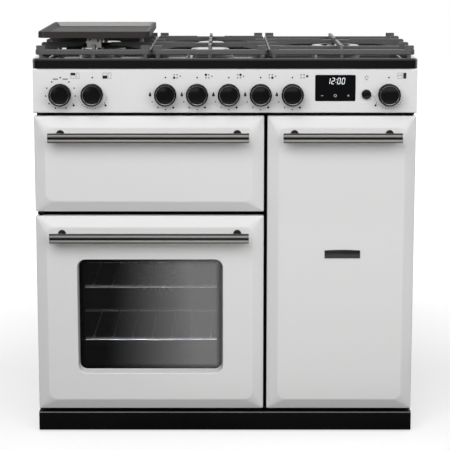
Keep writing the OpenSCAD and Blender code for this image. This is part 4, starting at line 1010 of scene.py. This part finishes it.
def make_plinth():
    low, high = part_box("plinth")
    bm = bmesh.new()
    verts = bmesh.ops.create_cube(bm, size=1.0)["verts"]
    bmesh.ops.scale(bm, vec=high - low, verts=verts)
    bmesh.ops.translate(bm, vec=middle("plinth"), verts=verts)
    top_front = [e for e in bm.edges if all(v.co.y < low.y + MM and v.co.z > high.z - MM for v in e.verts)]
    rounded = bevel(bm, top_front, PLINTH_EDGE)["faces"]
    for face in rounded:
        face.material_index = 1
    print("plinth edge faces", len(rounded))
    closed_piece(bm, "plinth_skin", "plinth", ["plinth_coat", "worn_edge"], "black_enamel", replaces=True)


make_plinth()

# %% [markdown]
# Marks on the fascia
#
# Each knob has a dot for off, and the marks round it say what it does: a flame and a row of dots for the gas,
# a scale for the ovens, steps for the grill. A small plan beside it shows which burner or oven it is. All are
# ink a few hundredths of a millimetre thick, so they are flat pieces on the fascia's face. A texture could do
# it, but pieces stay sharp at any distance.

# %% Flat marks
INK_T = 0.06 * MM
DOT_R = 2.0 * MM
DOT_SIDES = 14


def mark_polygon(bm, points, face_y=FASCIA_Y):
    """A flat mark with the outline given as X and Z, its front just proud of the face."""
    extrude(bm, bm.faces.new([bm.verts.new((x, face_y - INK_T, z)) for x, z in points]), (0, 2 * INK_T, 0))


def mark_dot(bm, x, z, radius=DOT_R):
    mark_polygon(bm, arc_points((x, z), radius, 0, 360, DOT_SIDES)[:-1])


def mark_bar(bm, x, z, width, height, turn=0.0, face_y=FASCIA_Y, slant=0.0):
    """A bar centred on (x, z), turned by an angle in degrees or slanted by a share of its height."""
    c, s = math.cos(math.radians(turn)), math.sin(math.radians(turn))
    points = []
    for across, up in ((-1, -1), (1, -1), (1, 1), (-1, 1)):
        u, v = (across * width + slant * up * height) / 2, up * height / 2
        points.append((x + c * u - s * v, z + s * u + c * v))
    mark_polygon(bm, points, face_y)


def mark_frame(bm, x, z, width, height, line):
    """The outline of a rectangle whose lower left corner is at (x, z)."""
    for up in (line / 2, height - line / 2):
        mark_bar(bm, x + width / 2, z + up, width, line)
    for across in (line / 2, width - line / 2):
        mark_bar(bm, x + across, z + height / 2, line, height - 2 * line)


def on_circle(x, z, radius, degrees):
    return x + radius * math.cos(math.radians(degrees)), z + radius * math.sin(math.radians(degrees))


dark_marks = bmesh.new()
pale_marks = bmesh.new()
print("ink stands", round(INK_T / MM, 2), "mm proud")

# %% Marks of the gas knobs
OFF_UP = 39 * MM
SCALE_R = 36 * MM
FLAME_H = 11 * MM
FLAME_W = 6.4 * MM
PLAN_X = 20.5 * MM
PLAN_Z = 38.6 * MM
PLAN_STEP = 6.8 * MM
# Columns and rows of the burners in the plan, in steps from its lower left one
BURNER_SPOTS = [(0, 0), (0, 1), (1, 1), (1, 0), (2.05, 0.5)]
# Angles of the dots under a gas knob and their sizes beside an ordinary dot
GAS_DOTS = [(210, 0.8), (240, 0.8), (270, 0.8), (300, 1.3)]
OWN_DOT = 1.5


def mark_flame(bm, x, z):
    round_part = arc_points((x, z - FLAME_H * 0.2), FLAME_W / 2, 150, 390, 12)
    mark_polygon(bm, round_part + [(x, z + FLAME_H * 0.55)])


def gas_marks(x, z, own):
    """All marks of one knob; its own burner stands out in the plan."""
    mark_dot(dark_marks, x, z + OFF_UP)
    mark_flame(dark_marks, x - SCALE_R, z)
    for degrees, size in GAS_DOTS:
        mark_dot(dark_marks, *on_circle(x, z, SCALE_R, degrees), DOT_R * size)
    for spot, (column, row) in enumerate(BURNER_SPOTS):
        place = (x + PLAN_X + column * PLAN_STEP, z + PLAN_Z + row * PLAN_STEP)
        mark_dot(dark_marks if spot == own else pale_marks, *place, DOT_R * (OWN_DOT if spot == own else 1))


for number, knob in enumerate(gas_knobs):
    gas_marks(middle(knob).x, middle(knob).z, number)
print("gas marks", len(dark_marks.faces), "faces")

# %% Small plans of the ovens
ICON_X = 24 * MM
ICON_Z = 36.5 * MM
ICON_H = 13.6 * MM
ICON_LINE = 0.9 * MM
ICON_GAP = 2 * MM
COLUMN_W = 11.5 * MM
TALL_W = 7 * MM
TALL_ICON_LEFT = 4 * MM
# Share of the left column that the main oven takes
SPLIT = 0.58


def oven_icon(x, z, filled):
    """The plan of the three doors, with one of them filled."""
    parts = {
        "grill": (x, z + ICON_H * SPLIT, COLUMN_W, ICON_H * (1 - SPLIT)),
        "main": (x, z, COLUMN_W, ICON_H * SPLIT - ICON_LINE),
        "tall": (x + COLUMN_W + ICON_GAP, z, TALL_W, ICON_H),
    }
    for name, (left, low, width, height) in parts.items():
        if name == filled:
            mark_bar(dark_marks, left + width / 2, low + height / 2, width, height)
        else:
            mark_frame(pale_marks, left, low, width, height, ICON_LINE)


spots = [middle(knob) for knob in oven_knobs]
for spot, filled, left in zip(spots, ("grill", "main", "tall"), (0, 0, TALL_ICON_LEFT)):
    oven_icon(spot.x + ICON_X - left, spot.z + ICON_Z, filled)
print("plans of the ovens, height", round(ICON_H / MM, 1), "mm")

# %% Scales of the oven knobs
TICKS = 15
TICK_R = 34 * MM
TICK_START = -12
TICK_SPAN = 156
TICK_L = 2.6 * MM
TICK_W = 1.1 * MM
SIGN_R = 40 * MM
SIGN_ANGLE = -41
SIGN_DOT = 2.6 * MM
STEM_W = 1.4 * MM
STEM_H = 5 * MM
STEM_IN = 1.5 * MM
STEM_UP = 3 * MM


def round_sign(x, z, side):
    """A dot with a stem, beside the knob's lower half on the given side."""
    spot_x, spot_z = on_circle(x, z, SIGN_R, SIGN_ANGLE if side > 0 else 180 - SIGN_ANGLE)
    mark_dot(dark_marks, spot_x, spot_z, SIGN_DOT)
    mark_bar(dark_marks, spot_x - side * STEM_IN, spot_z + STEM_UP, STEM_W, STEM_H)


def oven_scale(x, z, side):
    """A scale round the lower half, and a round sign on the given side."""
    mark_dot(dark_marks, x, z + OFF_UP)
    for tick in range(TICKS):
        degrees = TICK_START - TICK_SPAN * tick / (TICKS - 1)
        mark_bar(dark_marks, *on_circle(x, z, TICK_R, degrees), TICK_L, TICK_W, degrees)
    round_sign(x, z, side)


grill_spot, main_spot, tall_spot = spots
oven_scale(main_spot.x, main_spot.z, 1)
oven_scale(tall_spot.x, tall_spot.z, -1)
print("scales with", TICKS, "ticks")

# %% Steps of the grill knob
# Degrees from the top, the same on both sides
GRILL_STEPS = (35, 66, 97, 129, 159)
SIGN_STEP = 129
GRILL_R = 35 * MM
GRILL_DOT = 0.9
GRILL_BAR_X = 11.5 * MM
GRILL_BAR_UP = 35.4 * MM
GRILL_BAR_W = 12 * MM
GRILL_BAR_H = 2.2 * MM

x, z = grill_spot.x, grill_spot.z
mark_dot(dark_marks, x, z + OFF_UP)
for side in (-1, 1):
    mark_bar(dark_marks, x + side * GRILL_BAR_X, z + GRILL_BAR_UP, GRILL_BAR_W, GRILL_BAR_H)
    for step in GRILL_STEPS:
        # On the right the round sign takes the place of one dot
        if side < 0 or step != SIGN_STEP:
            mark_dot(dark_marks, *on_circle(x, z, GRILL_R, 90 - side * step), DOT_R * GRILL_DOT)
round_sign(x, z, 1)
print("grill steps", len(GRILL_STEPS))

# %% Lamp symbol, and the print as two pieces
BULB_UP = 39 * MM
BULB_R = 3.6 * MM
BULB_LINE = 0.9 * MM
BULB_SIDES = 12
BULB_SIDE_L = 2.1 * MM
BASE_DOWN = 5.4 * MM
BASE_W = 3 * MM
BASE_H = 1.6 * MM

bulb_z = KNOB_Z + BULB_UP
for side in range(BULB_SIDES):
    turn = 360 / BULB_SIDES * side
    mark_bar(dark_marks, *on_circle(button.x, bulb_z, BULB_R, turn), BULB_LINE, BULB_SIDE_L, turn)
mark_bar(dark_marks, button.x, bulb_z - BASE_DOWN, BASE_W, BASE_H)
fascia_print = closed_piece(dark_marks, "fascia_print", "control_fascia", ["dark_ink"], "black_enamel")
faint_print = closed_piece(pale_marks, "fascia_faint_print", "control_fascia", ["pale_ink"], "black_enamel")
print("print faces", len(fascia_print.data.polygons), len(faint_print.data.polygons))

# %% [markdown]
# Clock digits and touch symbols
#
# The clock is a glass block with a lit display behind it. Its digits have seven slanted segments, each a bar,
# so a table of which segments are lit for a digit is enough. Three dim symbols under them are touch keys.

# %% Digits
DIGIT_W = 7.2 * MM
DIGIT_H = 15 * MM
DIGIT_STEP = 10.4 * MM
STROKE = 1.25 * MM
SLANT = 0.12
# Segments: top, upper left, upper right, middle, lower left, lower right, bottom
SEGMENTS = {"0": "1110111", "1": "0010010", "2": "1011101"}
DIGITS_UP = 16.5 * MM
DIGITS_RIGHT = 2 * MM
# Places of the digits in steps from the middle
CLOCK = ((-1.7, "1"), (-0.7, "2"), (0.6, "0"), (1.6, "0"))
COLON_RIGHT = 1.5 * MM
COLON_HALF = 3 * MM

display = middle("clock_display")
display_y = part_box("clock_display")[0].y
digits_z = display.z + DIGITS_UP


def lit_bar(bm, x, z, width, height):
    """A bar that leans with the digits."""
    mark_bar(bm, x + SLANT * (z - digits_z), z, width, height, face_y=display_y, slant=SLANT)


def digit(bm, name, x):
    half_w, half_h = (DIGIT_W - STROKE) / 2, (DIGIT_H - STROKE) / 2
    flat, tall = (DIGIT_W - 2 * STROKE, STROKE), (STROKE, half_h - STROKE)
    bars = [(0, half_h, flat), (-half_w, half_h / 2, tall), (half_w, half_h / 2, tall), (0, 0, flat),
            (-half_w, -half_h / 2, tall), (half_w, -half_h / 2, tall), (0, -half_h, flat)]
    for lit, (across, up, size) in zip(SEGMENTS[name], bars):
        if lit == "1":
            lit_bar(bm, x + across, digits_z + up, *size)


bm = bmesh.new()
for place, name in CLOCK:
    digit(bm, name, display.x + place * DIGIT_STEP + DIGITS_RIGHT)
for up in (-COLON_HALF, COLON_HALF):
    lit_bar(bm, display.x + COLON_RIGHT, digits_z + up, STROKE, STROKE)
digits = closed_piece(bm, "clock_digits", "clock_display", ["digit_glow"], "display_glass")
print("digit faces", len(digits.data.polygons))

# %% Touch keys
KEYS_DOWN = 17.7 * MM
KEY_STEP = 30.5 * MM
KEY_W = 5 * MM
KEY_LINE = 1.3 * MM
# The middle key is a small square on its corner
SQUARE_R = 2.6 * MM
SQUARE_LINE = 1.1 * MM
SQUARE_SIDE = 4.4 * MM

bm = bmesh.new()
keys_z = display.z - KEYS_DOWN
mark_bar(bm, display.x - KEY_STEP, keys_z, KEY_W, KEY_LINE, 0, display_y)
mark_bar(bm, display.x + KEY_STEP, keys_z, KEY_W, KEY_LINE, 0, display_y)
mark_bar(bm, display.x + KEY_STEP, keys_z, KEY_LINE, KEY_W, 0, display_y)
for turn in (45, 135, 225, 315):
    mark_bar(bm, *on_circle(display.x, keys_z, SQUARE_R, turn), SQUARE_LINE, SQUARE_SIDE, turn, display_y)
keys = closed_piece(bm, "clock_keys", "clock_display", ["symbol_glow"], "display_glass")
print("key faces", len(keys.data.polygons))

# %% [markdown]
# Plate on the tall door
#
# A small dark plate with a slightly bowed top sits on the tall door, and it is bare. Its outline is a
# rectangle whose top edge is a shallow bow, pulled out by two millimetres, with a fine bevel that catches the
# light.

# %% Bare plate
PLATE_W = 84.5 * MM
PLATE_H = 19 * MM
PLATE_BOW = 1.4 * MM
PLATE_T = 2 * MM
PLATE_Z = 440 * MM
PLATE_RIGHT = 4 * MM
PLATE_BEVEL = 0.7 * MM
BOW_STEPS = 12
black("plate_coat", (0.012, 0.012, 0.013), 0.22, 500.0, 0.02 * MM, coat=0.2)


def make_plate():
    x, door_y = middle("tall_door_panel").x + PLATE_RIGHT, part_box("tall_door_panel")[0].y
    points = [(x - PLATE_W / 2, PLATE_Z - PLATE_H / 2), (x + PLATE_W / 2, PLATE_Z - PLATE_H / 2)]
    for step in range(BOW_STEPS + 1):
        across = 1 - 2 * step / BOW_STEPS
        points.append((x + across * PLATE_W / 2, PLATE_Z + PLATE_H / 2 + PLATE_BOW * (1 - across * across)))
    bm = bmesh.new()
    extrude(bm, bm.faces.new([bm.verts.new((px, door_y, pz)) for px, pz in points]), (0, -PLATE_T, 0))
    rim = [e for e in bm.edges if all(v.co.y < door_y - PLATE_T / 2 for v in e.verts)]
    bevel(bm, rim, PLATE_BEVEL, segments=2)
    return closed_piece(bm, "door_plate", "tall_door_panel", ["plate_coat"], "black_enamel")


plate = make_plate()
print("plate faces", len(plate.data.polygons))

# %% [markdown]
# The room
#
# The floor is a large sheet. It looks pale to the camera but bounces little light, so that the undersides
# stay dark. The background is white for the camera too, by Is Camera Ray, which puts no more light on the
# object. Mirrors see something else: white behind the cooker, and a dim front with a band of light at head
# height and a bright strip overhead. The lamps don't show in mirrors.

# %% Floor
FLOOR_HALF = 6.0
FLOOR_FRONT = 1.6
FLOOR_BOUNCE = (0.12, 0.12, 0.12)
FLOOR_DARK = (0.44, 0.44, 0.44)
FLOOR_LIGHT = (0.47, 0.47, 0.47)
# The floor is lifted to white away from the cooker, which stands at the origin
NEAR, FAR = 0.7, 2.4
NEAR_LIFT, FAR_LIFT = 0.6, 1.1


def pale_floor(tree):
    seen = tree.nodes.new("ShaderNodeLightPath").outputs["Is Camera Ray"]
    pale = blend(tree, noise(tree, 0.7), FLOOR_DARK, FLOOR_LIGHT)
    away = tree.nodes.new("ShaderNodeVectorMath")
    away.operation = "LENGTH"
    feed(tree, object_space(tree), away.inputs[0])
    lift = remap(tree, away.outputs["Value"], NEAR, FAR, NEAR_LIFT, FAR_LIFT)
    return dict(
        Base_Color=blend(tree, seen, FLOOR_BOUNCE, pale),
        Roughness=0.9,
        Specular_IOR_Level=0.2,
        Emission_Color=(1.0, 1.0, 1.0),
        Emission_Strength=calculate(tree, "MULTIPLY", lift, seen))


bm = bmesh.new()
bmesh.ops.create_grid(bm, x_segments=1, y_segments=1, size=FLOOR_HALF)
bmesh.ops.translate(bm, verts=bm.verts, vec=(0.0, FLOOR_HALF - FLOOR_FRONT, 0.0))
finish("floor_pale", pale_floor)
mesh_object(bm, "floor", ["floor_pale"])
print("floor", FLOOR_HALF * 2, "m wide")

# %% Reflection card
# A low card in front of the doors, dark on the left and bright on the right, gives the window and the knobs
# their bright side. It shows in mirrors and not to the camera.
CARD_LEFT, CARD_RIGHT = -2.2, 2.4
CARD_NEAR, CARD_FAR = -0.6, -2.9
CARD_LIFT = 0.02
CARD_DARK_X, CARD_BRIGHT_X = -0.3, -0.04
CARD_FAN = 0.045
CARD_CURVE = 1.45
CARD_DIM, CARD_LIGHT = 0.03, 0.88


def card_glow(tree):
    """Dark on the left and bright on the right; the border between them fans out with the distance."""
    place = axes(tree)
    fanned = calculate(tree, "MULTIPLY_ADD", place["Y"], -CARD_FAN, place["X"])
    across = remap(tree, fanned, CARD_DARK_X, CARD_BRIGHT_X, 0.0, 1.0)
    strength = remap(tree, calculate(tree, "POWER", across, CARD_CURVE), 0.0, 1.0, CARD_DIM, CARD_LIGHT)
    return add_node(tree, "ShaderNodeEmission", Strength=strength).outputs["Emission"]


bm = bmesh.new()
corners = [(CARD_LEFT, CARD_FAR), (CARD_RIGHT, CARD_FAR), (CARD_RIGHT, CARD_NEAR), (CARD_LEFT, CARD_NEAR)]
bm.faces.new([bm.verts.new((x, y, CARD_LIFT)) for x, y in corners])
finish("card_light", card_glow)
card = mesh_object(bm, "reflection_card", ["card_light"])
card.visible_camera = False
card.visible_diffuse = False
card.visible_shadow = False
print("reflection card", CARD_RIGHT - CARD_LEFT, "m wide")

# %% Surround
ROOM_LIGHT = 0.3
DARK_SIDE = 0.03
BAND_LIGHT = 0.5
STRIP_LIGHT = 1.2
# Where each light begins and is full: the backdrop by depth, the others by height, both of a unit direction
BACKDROP_BEGINS, BACKDROP_FULL = -0.1, 0.35
BAND_BEGINS, BAND_FULL = 0.12, 0.26
BAND_FADES, BAND_ENDS = 0.55, 0.72
STRIP_BEGINS, STRIP_FULL = 0.78, 0.9

world = bpy.data.worlds.new("room")
scene.world = world
world.use_nodes = True
room = world.node_tree
way = axes(room, "Generated")
rays = room.nodes.new("ShaderNodeLightPath").outputs
backdrop = remap(room, way["Y"], BACKDROP_BEGINS, BACKDROP_FULL, DARK_SIDE, 1.0)
band_foot = remap(room, way["Z"], BAND_BEGINS, BAND_FULL, 0.0, BAND_LIGHT)
band_top = remap(room, way["Z"], BAND_FADES, BAND_ENDS, 1.0, 0.0)
strip = remap(room, way["Z"], STRIP_BEGINS, STRIP_FULL, 0.0, STRIP_LIGHT)
lights = calculate(room, "ADD", backdrop, calculate(room, "MULTIPLY_ADD", band_foot, band_top, strip))
plain = remap(room, rays["Is Glossy Ray"], 0.0, 1.0, ROOM_LIGHT, 0.0)
mirrored = calculate(room, "MULTIPLY_ADD", lights, rays["Is Glossy Ray"], plain)
strength = calculate(room, "MAXIMUM", rays["Is Camera Ray"], mirrored)
feed_named(room, room.nodes["Background"], {"Color": (1.0, 1.0, 1.0), "Strength": strength})
print("room light", ROOM_LIGHT)

# %% [markdown]
# Lamps
#
# Two large soft lamps in front make the shadows soft, and a weaker one lights the hob from above. Two thin
# lamps inside the mouth of the main oven light the racks, which would be lost behind the dark glass.

# %% Lamps
DOORS = Vector((0.0, -0.2, 0.6))
HOB = Vector((0.0, 0.0, 0.9))
# Name, place, aim, width and height, and watts
LAMPS = [
    ("key_lamp", Vector((-0.8, -2.9, 2.45)), DOORS, (2.4, 2.4), 78),
    ("fill_lamp", Vector((1.8, -3.2, 2.0)), DOORS, (2.4, 2.4), 52),
    ("top_lamp", Vector((0.0, 0.1, 3.2)), HOB, (2.4, 0.8), 8),
]
OVEN_LAMP_SIZE = (0.4, 0.01)
OVEN_LAMP_WATTS = 4.0
OVEN_LAMP_IN = 6 * MM
OVEN_LAMP_AIM = 100 * MM
ROOF_GAP = 10 * MM
FLOOR_GAP = 12 * MM

oven_low, oven_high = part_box("main_oven_liner")
oven_x = (oven_low.x + oven_high.x) / 2
oven_aim = Vector((oven_x, oven_low.y + OVEN_LAMP_AIM, (oven_low.z + oven_high.z) / 2))
for name, height in (("oven_lamp_high", oven_high.z - ROOF_GAP), ("oven_lamp_low", oven_low.z + FLOOR_GAP)):
    place = Vector((oven_x, oven_low.y + OVEN_LAMP_IN, height))
    LAMPS.append((name, place, oven_aim, OVEN_LAMP_SIZE, OVEN_LAMP_WATTS))

for name, place, aim, (width, height), watts in LAMPS:
    data = bpy.data.lights.new(name, "AREA")
    data.shape = "RECTANGLE"
    data.size = width
    data.size_y = height
    data.energy = watts
    lamp = bpy.data.objects.new(name, data)
    lamp.location = place
    lamp.rotation_euler = (aim - place).to_track_quat("-Z", "Y").to_euler()
    lamp.visible_glossy = False
    scene.collection.objects.link(lamp)
print("lamps", len(LAMPS))

scene.view_settings.view_transform = "Standard"
